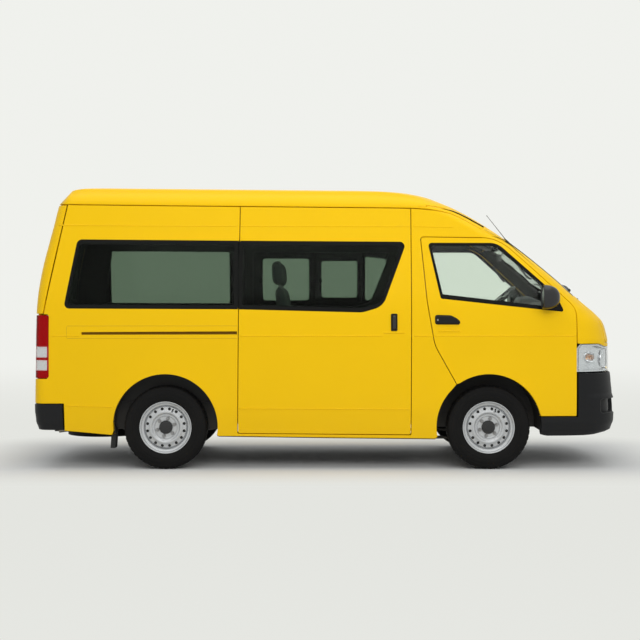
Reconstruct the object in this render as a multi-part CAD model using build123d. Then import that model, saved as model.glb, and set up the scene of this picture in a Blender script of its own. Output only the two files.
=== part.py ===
from build123d import *
import os
from math import atan2, cos, pi, radians, sin, sqrt, tan

os.makedirs("parts", exist_ok=True)

# High-roof minibus, in millimetres. +X is the front, +Y the vehicle's left, +Z up, and the floor is z = 0.

# ---- driving dimensions ----
length = 4740
body_width = 1695
front_overhang = 1085
rear_overhang = 1085
wheelbase = length - front_overhang - rear_overhang
track = 1470
kingpin_spacing = 1350
body_rake = 0.55              # degrees, nose down
wall = 55                     # thickness of sides, doors and ends
roof_wall = 36
pane = 5                      # glass thickness
panel_gap = 5                 # between a panel that opens and its surround
seat_gap = 0.3                # between pieces that rest on each other
running_gap = 0.05            # radial, shaft in its hole
door_clear = 9                # between a door's inner face and what is fixed inside

nose_x = length / 2
tail_x = -length / 2
front_axle_x = nose_x - front_overhang
rear_axle_x = front_axle_x - wheelbase
half_body = body_width / 2
kingpin_y = kingpin_spacing / 2

# wheels
tyre_radius = 332
tyre_width = 195
rim_radius = 208
rim_width = 152
rim_wall = 9
bead_radius = 190
rim_disc_offset = 35          # mounting face, outboard of the wheel's centre plane
rim_disc = 8
rim_holes = 16
rim_hole_radius = 9
rim_hole_circle = 150
hub_bore = 32
hub_cap_radius = 53
axle_z = tyre_radius
wheel_y = track / 2

# wheel arches and houses
arch_radius = 416
arch_z = 342
house_clear = 9               # wheelhouse skin outside the arch circle
house_skin = 8
front_house_inner = 430
rear_house_inner = 600

# floor and frame
floor_top = 520
floor_thick = 46
rail_inner = 345
rail_width = 60
rail_height = 96


def wire(edges):
    return Wire(edges)


def rounded_face(points, place):
    """A flat face from corners (u, v, radius); place(u, v) gives the corner in space."""
    count = len(points)
    arcs = []
    for i, (u, v, radius) in enumerate(points):
        before = points[i - 1]
        after = points[(i + 1) % count]
        a = Vector(before[0] - u, before[1] - v, 0).normalized()
        b = Vector(after[0] - u, after[1] - v, 0).normalized()
        half_angle = radians(a.get_angle(b)) / 2
        reach = radius / tan(half_angle) if radius else 0
        start = Vector(u, v, 0) + a * reach
        end = Vector(u, v, 0) + b * reach
        middle = Vector(u, v, 0)
        if radius:
            middle = middle + (a + b).normalized() * (radius / sin(half_angle) - radius)
        arcs.append((start, middle, end, radius))
    edges = []
    for i, (start, middle, end, radius) in enumerate(arcs):
        if radius:
            edges.append(Edge.make_three_point_arc(
                place(start.X, start.Y), place(middle.X, middle.Y), place(end.X, end.Y)))
        following = arcs[(i + 1) % count][0]
        if (following - end).length > 0.01:
            edges.append(Edge.make_line(place(end.X, end.Y), place(following.X, following.Y)))
    return Face(wire(edges))


def side_prism(points, low_y, high_y):
    """Corners (x, z, radius) seen from the side, carried from low_y to high_y."""
    face = rounded_face(points, lambda u, v: Vector(u, low_y, v))
    return Solid.extrude(face, Vector(0, high_y - low_y, 0))


def front_prism(points, low_x, high_x):
    """Corners (y, z, radius) seen from the front, carried from low_x to high_x."""
    face = rounded_face(points, lambda u, v: Vector(low_x, u, v))
    return Solid.extrude(face, Vector(high_x - low_x, 0, 0))


def plan_prism(points, low_z, high_z):
    """Corners (x, y, radius) seen from above, carried from low_z to high_z."""
    face = rounded_face(points, lambda u, v: Vector(u, v, low_z))
    return Solid.extrude(face, Vector(0, 0, high_z - low_z))


def box(low, high):
    size = [b - a for a, b in zip(low, high)]
    return Pos(*[(a + b) / 2 for a, b in zip(low, high)]) * Box(*size)


def bar_y(x, z, radius, low_y, high_y):
    return Pos(x, (low_y + high_y) / 2, z) * Rot(90, 0, 0) * Cylinder(radius, high_y - low_y)


def bar_z(x, y, radius, low_z, high_z):
    return Pos(x, y, (low_z + high_z) / 2) * Cylinder(radius, high_z - low_z)


def rod(start, end, radius):
    start = Vector(*start)
    end = Vector(*end)
    run = end - start
    return Solid.make_cylinder(radius, run.length, Plane(origin=start, z_dir=run))


def mirrored(shape):
    return shape.mirror(Plane.XZ)


def grown(points, amount):
    """The corners of an outline moved outwards by amount."""
    count = len(points)
    area = sum(points[i - 1][0] * points[i][1] - points[i][0] * points[i - 1][1] for i in range(count))
    turn = 1 if area > 0 else -1
    result = []
    for i, (u, v, radius) in enumerate(points):
        bu, bv = u - points[i - 1][0], v - points[i - 1][1]
        au, av = points[(i + 1) % count][0] - u, points[(i + 1) % count][1] - v
        bl, al = sqrt(bu * bu + bv * bv), sqrt(au * au + av * av)
        n1 = (turn * bv / bl, -turn * bu / bl)
        n2 = (turn * av / al, -turn * au / al)
        share = 1 + n1[0] * n2[0] + n1[1] * n2[1]
        convex = turn * (bu * av - bv * au) > 0
        new_radius = max(radius + (amount if convex else -amount), 0) if radius else 0
        result.append((u + amount * (n1[0] + n2[0]) / share, v + amount * (n1[1] + n2[1]) / share,
            new_radius))
    return result


def solids_of(shape):
    return list(shape.solids())


def save(name, *shapes):
    pieces = [s for shape in shapes for s in solids_of(shape)]
    pieces = [s for s in pieces if s.volume > 50]
    whole = Compound(children=pieces) if len(pieces) > 1 else pieces[0]
    whole.label = name
    export_step(whole, f"parts/{name}.step")


# ---- the body's outer form: level rings, lofted, then tipped by the rake ----
# height, tuck (each side in from half_body), nose back, tail in, front corner radius, bulge radius of the front
body_rings = [
    (235, 41, 76, 52, 330, 4000),
    (480, 9, 40, 32, 350, 4100),
    (1060, 0, 57, 34, 350, 4100),
    (1183, 4, 95, 35, 335, 4050),
    (1263, 8, 167, 37, 310, 3900),
    (1343, 14, 265, 42, 270, 3800),
    (1543, 48, 489, 66, 225, 3400),
    (1825, 95, 844, 124, 204, 2860),
    (1943, 115, 1017, 150, 215, 2600),
    (2022, 129, 1143, 165, 240, 2400),
    (2110, 145, 1306, 188, 280, 2100),
    (2190, 185, 1500, 235, 300, 1800),
    (2232, 265, 1690, 320, 300, 1500),
    (2250, 450, 2080, 560, 300, 1200),
]
rear_corner = 95
crown_start = 2000            # rings above this drop by the roof's thickness inside

# height, tuck, nose back, tail in, front corner radius, bulge radius, level with the floor
bumper_rings = [
    (255, 52, 285, 130, 300, 3900),
    (268, 45, 160, 70, 320, 3900),
    (288, 36, 76, 45, 340, 4000),
    (312, 27, 30, 28, 350, 4100),
    (384, 12, 3, 8, 350, 4100),
    (470, 6, 0, 0, 350, 4100),
    (590, 2, 6, 0, 350, 4100),
    (780, -1, 24, 4, 350, 4100),
]


def ring(row, inset, drop):
    height, tuck, nose_back, tail_in, corner, bulge = row
    z = height - drop
    half = half_body - tuck - inset
    nose = nose_x - nose_back - inset
    tail = tail_x + tail_in + inset
    corner = corner - inset
    bulge = bulge - inset
    bulge_centre = nose - bulge
    corner_y = half - corner
    corner_x = bulge_centre + sqrt((bulge - corner) ** 2 - corner_y ** 2)
    join = atan2(corner_y, corner_x - bulge_centre)
    middle = (join + pi / 2) / 2
    joined = (bulge_centre + bulge * cos(join), bulge * sin(join))
    corner_mid = (corner_x + corner * cos(middle), corner_y + corner * sin(middle))
    back = max(rear_corner - inset, 20)
    back_x = tail + back
    back_y = half - back
    back_mid = (back_x - back * sin(pi / 4), back_y + back * sin(pi / 4))

    def at(x, y):
        return Vector(x, y, z)

    return wire([
        Edge.make_three_point_arc(at(joined[0], -joined[1]), at(nose, 0), at(*joined)),
        Edge.make_three_point_arc(at(*joined), at(*corner_mid), at(corner_x, half)),
        Edge.make_line(at(corner_x, half), at(back_x, half)),
        Edge.make_three_point_arc(at(back_x, half), at(*back_mid), at(tail, back_y)),
        Edge.make_line(at(tail, back_y), at(tail, -back_y)),
        Edge.make_three_point_arc(at(tail, -back_y), at(back_mid[0], -back_mid[1]), at(back_x, -half)),
        Edge.make_line(at(back_x, -half), at(corner_x, -half)),
        Edge.make_three_point_arc(
            at(corner_x, -half), at(corner_mid[0], -corner_mid[1]), at(joined[0], -joined[1])),
    ])


def hull(rows, inset, roof_drop, below):
    """The body's form moved in by inset; below lets the bottom run out under the sills."""
    wires = []
    if below:
        first = rows[0]
        wires.append(ring((first[0] - below, *first[1:]), inset, 0))
    for row in rows:
        wires.append(ring(row, inset, roof_drop if row[0] > crown_start else 0))
    return Solid.make_loft(wires, True)


outer = hull(body_rings, 0, 0, 0).rotate(Axis.Y, body_rake)
inner = hull(body_rings, wall, roof_wall, 60).rotate(Axis.Y, body_rake)
under_glass = hull(body_rings, pane, pane, 60).rotate(Axis.Y, body_rake)
proud_form = hull(body_rings, -12, -12, 0).rotate(Axis.Y, body_rake)
bumper_form = hull(bumper_rings, 0, 0, 0)

shell = outer - inner
glass_skin = outer - under_glass
proud_skin = proud_form - outer
bumper_skin = bumper_form - inner
far_y = body_width
far_z = 2600

# ---- outlines, seen from the side: (x, z, corner radius) ----
cab = front_axle_x
back = rear_axle_x

gutter_rear_z = 2113
gutter_front_z = 2083
roof_line = [
    (tail_x - 200, gutter_rear_z + 2, 0),
    (cab - 605, gutter_front_z, 0),
    (cab - 483, gutter_front_z - 7, 260),
    (cab - 330, gutter_front_z - 35, 260),
    (cab - 102, 1947, 0),
    (cab + 25, 1873, 0),
    (cab + 150, 1808, 0),
    (cab + 420, 2010, 0),
    (cab + 420, far_z, 0),
    (tail_x - 200, far_z, 0),
]

door_front_x = cab + 698
door_bottom_z = 422
door_outline = [
    (cab - 538, 1852, 25),
    (cab - 490, 1330, 1500),
    (cab - 430, 985, 300),
    (cab - 245, 655, 0),
    (cab + 115, door_bottom_z, 0),
    (door_front_x, door_bottom_z, 12),
    (door_front_x, 1282, 150),
    (cab + 91, 1843, 350),
]
door_window = [
    (cab - 473, 1798, 20),
    (cab - 378, 1362, 12),
    (cab + 590, 1257, 10),
    (cab + 527, 1388, 80),
    (cab + 75, 1797, 150),
]
window_lip = 12

slide_rear_x = cab - 1990
slide_front_x = cab - 612
slide_bottom_z = 276
sliding_outline = [
    (slide_rear_x + 8, gutter_rear_z + 60, 0),
    (slide_rear_x - 6, slide_bottom_z + 8, 15),
    (slide_front_x - 6, slide_bottom_z - 5, 15),
    (slide_front_x + 6, gutter_front_z + 60, 0),
]

band_top_rear = 1826
band_top_mid = 1815
band_top_front = 1807
band_low_rear = 1283
band_low_mid = 1277
band_low_front = 1252
band_edge = 7                 # glass to the edge of the panel it is bonded to
quarter_glass = [
    (slide_rear_x - band_edge, band_top_mid, 6),
    (back - 706, band_top_rear, 40),
    (back - 801, band_low_rear, 34),
    (slide_rear_x - band_edge, band_low_mid, 6),
]
sliding_glass = [
    (slide_rear_x + band_edge, band_top_mid, 6),
    (slide_rear_x + band_edge, band_low_mid, 6),
    (cab - 1009, band_low_front, 200),
    (cab - 845, 1300, 130),
    (cab - 655, band_top_front, 34),
]
glass_bond = 46
quarter_hole = grown(quarter_glass, -glass_bond)
sliding_hole = grown(sliding_glass, -glass_bond)

headlamp_rear_x = cab + 707
headlamp_low_z = 779
headlamp_top_z = 992
headlamp_inner_y = 470
headlamp_outline = [
    (headlamp_rear_x, headlamp_low_z, 8),
    (nose_x + 60, headlamp_low_z, 0),
    (nose_x + 60, 960, 0),
    (nose_x - 138, 970, 40),
    (nose_x - 194, headlamp_top_z, 40),
    (headlamp_rear_x, headlamp_top_z, 8),
]
bumper_top_z = 768
bumper_rear_x = door_front_x + 4
extension_top_z = door_bottom_z - panel_gap - 1
extension_rear_x = cab + 388
front_bumper_outline = [
    (extension_rear_x, 200, 0),
    (nose_x + 60, 200, 0),
    (nose_x + 60, bumper_top_z, 0),
    (bumper_rear_x, bumper_top_z, 0),
    (bumper_rear_x, extension_top_z, 0),
    (extension_rear_x, extension_top_z, 0),
]
rear_bumper_front_x = back - 808
rear_bumper_top_z = 520
rear_bumper_low_z = 308
rear_bumper_outline = [
    (tail_x - 60, rear_bumper_low_z, 0),
    (rear_bumper_front_x, rear_bumper_low_z + 4, 0),
    (rear_bumper_front_x - 6, rear_bumper_top_z, 0),
    (tail_x - 60, rear_bumper_top_z, 0),
]

lid_half_width = 685
lid_low_z = 1003
lid_corner_x = nose_x - 385
lid_centre_x = nose_x - 285
cowl_depth = 42
lid_gap = 7

tail_edge_top_x = tail_x + 277
tail_edge_low_x = tail_x + 110
lamp_top_z = 1227
lamp_low_z = 723
lamp_front_x = tail_x + 167
lamp_inner_y = 700
tailgate_half = 690
tail_side_gap = 9             # the upper edges swing down past the quarter panels
tailgate_low_z = rear_bumper_top_z + panel_gap + 1
tailgate_top_z = gutter_rear_z - panel_gap


def arch(x, radius, low_y, high_y):
    return bar_y(x, arch_z, radius, low_y, high_y)


def rear_edge_arc(offset):
    """The plan region ahead of the bonnet lid's curved rear edge, moved back by offset."""
    corner = lid_corner_x - offset
    centre = lid_centre_x - offset
    edges = [
        Edge.make_three_point_arc(
            Vector(corner, -lid_half_width, 900), Vector(centre, 0, 900),
            Vector(corner, lid_half_width, 900)),
        Edge.make_line(Vector(corner, lid_half_width, 900), Vector(corner, far_y, 900)),
        Edge.make_line(Vector(corner, far_y, 900), Vector(nose_x + 200, far_y, 900)),
        Edge.make_line(Vector(nose_x + 200, far_y, 900), Vector(nose_x + 200, -far_y, 900)),
        Edge.make_line(Vector(nose_x + 200, -far_y, 900), Vector(corner, -far_y, 900)),
        Edge.make_line(Vector(corner, -far_y, 900), Vector(corner, -lid_half_width, 900)),
    ]
    return Solid.extrude(Face(wire(edges)), Vector(0, 0, 900))


# ---- cutting regions ----
roof_region = side_prism(roof_line, -far_y, far_y)
door_region = side_prism(door_outline, -far_y, 0)
door_opening = side_prism(grown(door_outline, panel_gap), -far_y, 0)
sliding_region = side_prism(sliding_outline, -far_y, 0)
sliding_opening = side_prism(grown(sliding_outline, panel_gap), -far_y, 0)
front_arches = arch(front_axle_x, arch_radius, -far_y, far_y)
rear_arches = arch(rear_axle_x, arch_radius, -far_y, far_y)
bumper_region = side_prism(front_bumper_outline, -far_y, far_y)
rear_bumper_region = side_prism(rear_bumper_outline, -far_y, far_y)
lid_region = rear_edge_arc(0) & box((cab, -lid_half_width, lid_low_z), (nose_x + 60, lid_half_width, far_z))
lid_opening = rear_edge_arc(lid_gap) & box(
    (cab, -lid_half_width - panel_gap, lid_low_z - panel_gap),
    (nose_x + 60, lid_half_width + panel_gap, far_z))
cowl_region = rear_edge_arc(cowl_depth + lid_gap) & box((cab, -lid_half_width, lid_low_z),
    (nose_x, lid_half_width, far_z))
screen_half_low = 700
screen_half_top = 636
screen_low_z = 1340
screen_top_z = 1880
screen_outline = [
    (-screen_half_low, screen_low_z, 0),
    (screen_half_low, screen_low_z, 0),
    (screen_half_top, screen_top_z, 0),
    (-screen_half_top, screen_top_z, 0),
]
screen_region = front_prism(screen_outline, cab - 300, nose_x)
screen_region = screen_region - roof_region - rear_edge_arc(cowl_depth + lid_gap)
tail_upper = side_prism([
    (tail_x - 60, lamp_top_z + panel_gap, 0),
    (tail_edge_low_x, lamp_top_z + panel_gap, 0),
    (tail_edge_top_x, tailgate_top_z, 0),
    (tail_x - 60, tailgate_top_z, 0),
], -far_y, far_y)
tail_lower = box((tail_x - 60, -tailgate_half, tailgate_low_z),
    (tail_x + 150, tailgate_half, lamp_top_z + 2 * panel_gap))
tail_region = tail_upper + tail_lower
tail_opening = (
    side_prism([
        (tail_x - 60, lamp_top_z, 0),
        (tail_edge_low_x + tail_side_gap, lamp_top_z, 0),
        (tail_edge_top_x + tail_side_gap, gutter_rear_z, 0),
        (tail_x - 60, gutter_rear_z + 2, 0),
    ], -far_y, far_y)
    + box((tail_x - 60, -tailgate_half - panel_gap, rear_bumper_top_z),
        (tail_x + 155, tailgate_half + panel_gap, lamp_top_z + 3))
)
lamp_region = box((tail_x - 60, lamp_inner_y, lamp_low_z), (lamp_front_x, far_y, lamp_top_z))
lamp_region = lamp_region + mirrored(lamp_region)
headlamp_region = side_prism(headlamp_outline, headlamp_inner_y, far_y)
headlamp_region = headlamp_region + mirrored(headlamp_region)
grille_half = headlamp_inner_y - 4
grille_low_z = 800
grille_top_z = 965
grille_region = box((nose_x - 260, -grille_half, grille_low_z), (nose_x + 60, grille_half, grille_top_z))

# ---- tailgate hinges: a pin on the roof in a knuckle on the tailgate, on each side ----
hinge_x = tail_x + 203
hinge_z = gutter_rear_z - 3
hinge_y = 450
hinge_pin = 5
knuckle_radius = 12
knuckle_half = 22
lug_half = 44


def hinge_bar(radius, inner, outer_end):
    """A bar on the tailgate hinge axis over one stretch, on both sides of the van."""
    bar = bar_y(hinge_x, hinge_z, radius, hinge_y + inner, hinge_y + outer_end)
    return bar + mirrored(bar)


tail_knuckle = hinge_bar(knuckle_radius, -knuckle_half, knuckle_half)
tail_knuckle = tail_knuckle - hinge_bar(hinge_pin + running_gap, -lug_half, lug_half)
knuckle_room = hinge_bar(knuckle_radius + 3, -knuckle_half - 1, knuckle_half + 1)
roof_lugs = (
    hinge_bar(knuckle_radius - 2, -lug_half, -knuckle_half - 1)
    + hinge_bar(knuckle_radius - 2, knuckle_half + 1, lug_half)
)
lug_room = (
    hinge_bar(knuckle_radius + 1, -lug_half - 1, -knuckle_half)
    + hinge_bar(knuckle_radius + 1, knuckle_half, lug_half + 1)
)

# ---- body panels ----
roof = (shell & roof_region) - knuckle_room + roof_lugs + hinge_bar(hinge_pin, -lug_half, lug_half)
save("roof", roof)

lower = shell - roof_region
right_half = box((tail_x - 60, -far_y, 0), (bumper_rear_x, -1, far_z))
left_half = mirrored(right_half)
fixed_cut = bumper_region + rear_bumper_region + tail_opening + lamp_region
side_shell = lower & (right_half + left_half)
side_shell = side_shell - fixed_cut - lid_opening - cowl_region - screen_region
side_shell = side_shell - front_arches - rear_arches
side_shell = side_shell - box((tail_x, -half_body + 160, 0), (cab + 400, half_body - 160, 500))
side_shell = side_shell - box((tail_x - 60, -far_y, 0), (rear_bumper_front_x, far_y, rear_bumper_low_z + 6))

quarter_pane = glass_skin & side_prism(quarter_glass, -far_y, 0)
sliding_pane = glass_skin & side_prism(sliding_glass, -far_y, 0)
right_shell = side_shell & right_half
right_side = right_shell - door_opening - sliding_opening - quarter_pane
right_side = right_side - side_prism(quarter_hole, -far_y, 0)
slot_low_z = 1078
slot_high_z = 1094
slot_depth = 16
slot = box((back - 661, -half_body - 20, slot_low_z),
    (slide_rear_x - 12, -half_body + slot_depth, slot_high_z))
right_side = right_side - slot


def behind(shape):
    return [s for s in solids_of(shape) if s.center().X < cab]


def ahead(shape):
    return [s for s in solids_of(shape) if s.center().X > cab]


save("right_side", *behind(right_side))
right_pillar = ahead(right_side)

rail_bar = box((back - 658, -half_body + 3, slot_low_z + 4),
    (slide_rear_x - 15, -half_body + slot_depth, slot_high_z - 4))
save("slide_rail", rail_bar)

left_pane = mirrored(quarter_pane)
left_pane_mid = mirrored(sliding_pane)
left_side = (side_shell & left_half) - mirrored(door_opening) - left_pane - left_pane_mid
left_side = left_side - mirrored(side_prism(quarter_hole, -far_y, 0))
left_side = left_side - mirrored(side_prism(sliding_hole, -far_y, 0))
save("left_side", *behind(left_side))
left_pillar = ahead(left_side)
save("side_glass", quarter_pane, left_pane, left_pane_mid)

sliding_door = (lower & sliding_region) - sliding_pane - side_prism(sliding_hole, -far_y, 0)
slide_handle = box((cab - 783, -half_body - 22, 1097), (cab - 723, -half_body + 30, 1239)) - outer
save("sliding_door", sliding_door + slide_handle)
save("sliding_door_glass", sliding_pane)

door_pane = glass_skin & side_prism(door_window, -far_y, 0)
door_panel = (lower & door_region) - front_arches - door_pane
door_panel = door_panel - side_prism(grown(door_window, -window_lip), -far_y, 0)
handle_grip = box((cab - 426, -half_body - 22, 1162), (cab - 236, -half_body + 30, 1218)) - outer
right_door = door_panel + handle_grip
save("right_door", right_door)
save("left_door", mirrored(right_door))
save("right_door_glass", door_pane)
save("left_door_glass", mirrored(door_pane))

mirror_foot = proud_skin & side_prism(
    [(cab + 420, 1278, 4), (cab + 578, 1262, 4), (cab + 520, 1380, 4), (cab + 440, 1440, 4)], -far_y, 0)
mirror_out_y = -990
mirror_head = Pos(cab + 475, mirror_out_y + 72, 1368) * Box(118, 144, 196)
mirror_head = fillet(mirror_head.edges(), 34)
mirror_arm = rod((cab + 480, -half_body + 18, 1320), (cab + 475, mirror_out_y + 90, 1330), 17) - outer
door_mirror = mirror_foot + mirror_arm + mirror_head
save("right_door_mirror", door_mirror)
save("left_door_mirror", mirrored(door_mirror))

bonnet_lid = lower & lid_region
save("bonnet_lid", bonnet_lid)
cowl = (lower & cowl_region) - lid_opening
save("cowl", cowl)
windscreen = glass_skin & screen_region
save("windscreen", windscreen)

front_zone = box((bumper_rear_x, -far_y, bumper_top_z), (nose_x + 60, far_y, far_z))
front_panel = (lower & front_zone) - lid_opening - cowl_region - screen_region - headlamp_region - grille_region
for pillar in right_pillar + left_pillar:
    front_panel = front_panel + pillar
save("front_panel", front_panel)
save("headlamps", lower & headlamp_region & front_zone)
save("grille", lower & grille_region)
front_bumper = (bumper_skin & bumper_region) - front_arches
plate_spacing = 150
plate_hole = 3
front_plate_z = 520
rear_plate_z = 670


def plate_holes(x, z):
    """Two screw holes for a number plate, through the panel at x."""
    bore = Rot(0, 90, 0) * Cylinder(plate_hole, 260)
    return [Pos(x, side * plate_spacing / 2, z) * bore for side in (-1, 1)]


front_bumper = front_bumper - plate_holes(nose_x - 40, front_plate_z)
save("front_bumper", front_bumper)
save("rear_bumper", bumper_skin & rear_bumper_region)

tail_glass_outline = [(-640, 1312, 45), (640, 1312, 45), (590, 1815, 60), (-590, 1815, 60)]
tail_pane = glass_skin & front_prism(tail_glass_outline, tail_x - 60, tail_x + 600)
tailgate = (lower & tail_region) - tail_pane - front_prism(grown(tail_glass_outline, -glass_bond),
    tail_x - 60, tail_x + 600)
tailgate = tailgate - plate_holes(tail_x + 60, rear_plate_z)
tailgate = tailgate - lug_room - hinge_bar(hinge_pin + running_gap, -lug_half, lug_half) + tail_knuckle
save("tailgate", tailgate)
save("tailgate_glass", tail_pane)
save("tail_lamps", lower & lamp_region)

# ---- floor, wheelhouses and frame ----
floor_low = floor_top - floor_thick
slab = box((tail_x + 100, -half_body, floor_low), (nose_x - 150, half_body, floor_top)) & inner
door_zone = box((cab - 560, half_body - wall - door_clear - 4, 200), (bumper_rear_x, half_body + 50, far_z))
door_zone = door_zone + mirrored(door_zone)
tail_zone = box((tail_x, -half_body, 200), (tail_x + wall + 50, half_body, far_z))
house_radius = arch_radius + house_clear


def wheelhouse(x, inner_y, skin):
    body = bar_y(x, arch_z, house_radius + skin, inner_y - skin, half_body)
    return body


engine_half = 330
cover_half = 415
cover_front_x = cab + 115
cover_rear_x = cab - 640
cover_top = 800
cover_skin = 6
outside_houses = (
    wheelhouse(front_axle_x, front_house_inner, house_skin)
    + wheelhouse(rear_axle_x, rear_house_inner, house_skin)
)
outside_houses = outside_houses & box((tail_x, 0, 300), (nose_x, half_body, far_z))
inside_houses = (
    bar_y(front_axle_x, arch_z, house_radius, front_house_inner, far_y)
    + bar_y(rear_axle_x, arch_z, house_radius, rear_house_inner, far_y)
)
outside_houses = outside_houses + mirrored(outside_houses)
inside_houses = inside_houses + mirrored(inside_houses)
cover = box((cover_rear_x, -cover_half, floor_low), (cover_front_x, cover_half, cover_top))
cover_hollow = box(
    (cover_rear_x + cover_skin, -cover_half + cover_skin, 0),
    (cover_front_x - cover_skin, cover_half - cover_skin, cover_top - cover_skin))
arm_opening = box((cab - 140, front_house_inner - 30, 0),
    (cab + 140, front_house_inner + 15, floor_low + 12))
axle_opening = box((back - 150, rear_house_inner - 30, 0), (back + 150, rear_house_inner + 15, floor_low))
wall_openings = arm_opening + axle_opening
floor_pan = slab + (outside_houses & inner) + cover - inside_houses - cover_hollow - door_zone - tail_zone
floor_pan = floor_pan - wall_openings - mirrored(wall_openings)
save("floor_pan", floor_pan)

rail_outer = rail_inner + rail_width
rail_top = floor_low
rail_low = rail_top - rail_height
rails = box((tail_x + 160, rail_inner, rail_low), (nose_x - 260, rail_outer, rail_top))
cross_x = [tail_x + 200, back - 500, back + 520, back + 1100, cab - 720, cab + 560]
frame = rails + mirrored(rails)
for x in cross_x:
    frame = frame + box((x - 30, -rail_inner, rail_low + 10), (x + 30, rail_inner, rail_top - 10))

# towing eyes hang from the rear ends of the rails
eye_radius = 14
eye_y = (rail_inner + rail_outer) / 2
eye_plate = 20
eye_hole_z = 286
eye_hole_x = tail_x + 145
for side in (-1, 1):
    plate_y = side * eye_y
    plate = box((eye_hole_x - 30, plate_y - eye_plate / 2, 258),
        (eye_hole_x + 95, plate_y + eye_plate / 2, rail_low + 4))
    eye_hole = bar_y(eye_hole_x, eye_hole_z, eye_radius, plate_y - eye_plate, plate_y + eye_plate)
    frame = frame + (plate - eye_hole)
save("chassis_frame", frame)

# ---- running gear ----
disc_face = wheel_y + rim_disc_offset


def turned(profile, x, z):
    """Corners (y, radius) turned about the axle line at (x, z)."""
    points = [Vector(0, y, r) for y, r in profile]
    edges = [Edge.make_line(points[i - 1], points[i]) for i in range(len(points))]
    return Solid.revolve(Face(wire(edges)), 360, Axis((0, 0, 0), (0, 1, 0))).moved(Pos(x, 0, z))


half_tyre = tyre_width / 2
half_rim = rim_width / 2
tyre_profile = [
    (wheel_y - half_rim, bead_radius + rim_wall),
    (wheel_y - half_tyre, 268),
    (wheel_y - half_tyre + 12, 312),
    (wheel_y - half_tyre + 32, tyre_radius - 2),
    (wheel_y, tyre_radius),
    (wheel_y + half_tyre - 32, tyre_radius - 2),
    (wheel_y + half_tyre - 12, 312),
    (wheel_y + half_tyre, 268),
    (wheel_y + half_rim, bead_radius + rim_wall),
]
rim_profile = [
    (wheel_y - half_rim, bead_radius - rim_wall),
    (wheel_y - half_rim - 5, rim_radius),
    (wheel_y - half_rim, bead_radius + rim_wall),
    (wheel_y + half_rim, bead_radius + rim_wall),
    (wheel_y + half_rim + 5, rim_radius),
    (wheel_y + half_rim, bead_radius - rim_wall),
    (disc_face + 22, bead_radius - rim_wall),
    (disc_face + 22, 168),
    (disc_face + 12, 163),
    (disc_face + 14, 134),
    (disc_face + 30, 122),
    (disc_face + 30, 96),
    (disc_face + rim_disc, 88),
    (disc_face + rim_disc, hub_bore),
    (disc_face, hub_bore),
    (disc_face, 92),
    (disc_face + 20, 100),
    (disc_face + 20, 118),
    (disc_face + 4, 132),
    (disc_face + 2, 166),
    (disc_face + 10, bead_radius - rim_wall),
]


def wheel(x):
    tyre = turned(tyre_profile, x, axle_z)
    rim = turned(rim_profile, x, axle_z)
    holes = []
    for i in range(rim_holes):
        angle = 2 * pi * i / rim_holes
        hole_x = x + rim_hole_circle * cos(angle)
        hole_z = axle_z + rim_hole_circle * sin(angle)
        holes.append(bar_y(hole_x, hole_z, rim_hole_radius, disc_face - 10, disc_face + 40))
    rim = rim.cut(*holes)
    cap = turned([
        (disc_face + rim_disc, 0), (disc_face + rim_disc, hub_cap_radius),
        (disc_face + rim_disc + 14, hub_cap_radius - 6), (disc_face + rim_disc + 20, 0)], x, axle_z)
    return tyre, rim + cap


for end, x in (("front", front_axle_x), ("rear", rear_axle_x)):
    left_tyre, left_rim = wheel(x)
    save(f"{end}_left_tyre", left_tyre)
    save(f"{end}_left_rim", left_rim)
    save(f"{end}_right_tyre", mirrored(left_tyre))
    save(f"{end}_right_rim", mirrored(left_rim))

spindle_radius = hub_bore - running_gap
spindle_end = disc_face + rim_disc - 2
brake_radius = 108
drum_radius = 135
pin_radius = 11
joint_rise = 118
boss_radius = 24
boss_height = 34


def hub(x, start_y, brake):
    """Hub flange and spindle that carry a wheel, on the left."""
    flange = bar_y(x, axle_z, 70, start_y, disc_face - seat_gap)
    disc = bar_y(x, axle_z, brake, start_y, start_y + 22)
    return flange + disc + bar_y(x, axle_z, spindle_radius, start_y, spindle_end)


knuckle_stub_y = kingpin_y + 38
steer_arm_reach = 92
steer_arm_z = axle_z - 84
knuckle = hub(front_axle_x, knuckle_stub_y, brake_radius)
knuckle = knuckle + bar_y(front_axle_x, axle_z, 34, kingpin_y, knuckle_stub_y + 5)
knuckle = knuckle + bar_z(front_axle_x, kingpin_y, boss_radius, axle_z - joint_rise, axle_z + joint_rise)
steer_arm = box((front_axle_x - steer_arm_reach, kingpin_y - 14, steer_arm_z),
    (front_axle_x, kingpin_y + 14, steer_arm_z + 24))
steer_arm = steer_arm + bar_z(front_axle_x - steer_arm_reach, kingpin_y, 20, steer_arm_z, steer_arm_z + 24)
knuckle = knuckle + steer_arm
for z in (axle_z - joint_rise, axle_z + joint_rise - boss_height):
    knuckle = knuckle - bar_z(front_axle_x, kingpin_y, pin_radius + running_gap, z, z + boss_height)
save("left_knuckle", knuckle)
save("right_knuckle", mirrored(knuckle))

rod_radius = 10
track_rod_z = steer_arm_z - seat_gap - rod_radius
half_rod = rod(
    (front_axle_x - steer_arm_reach, kingpin_y - 4, track_rod_z),
    (front_axle_x - steer_arm_reach, 0, track_rod_z), rod_radius - 2)
half_rod = half_rod + bar_z(
    front_axle_x - steer_arm_reach, kingpin_y, 18, track_rod_z - rod_radius, track_rod_z + rod_radius)
save("track_rod", half_rod + mirrored(half_rod))

arm_inner_y = 300
arm_thick = 24


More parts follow.
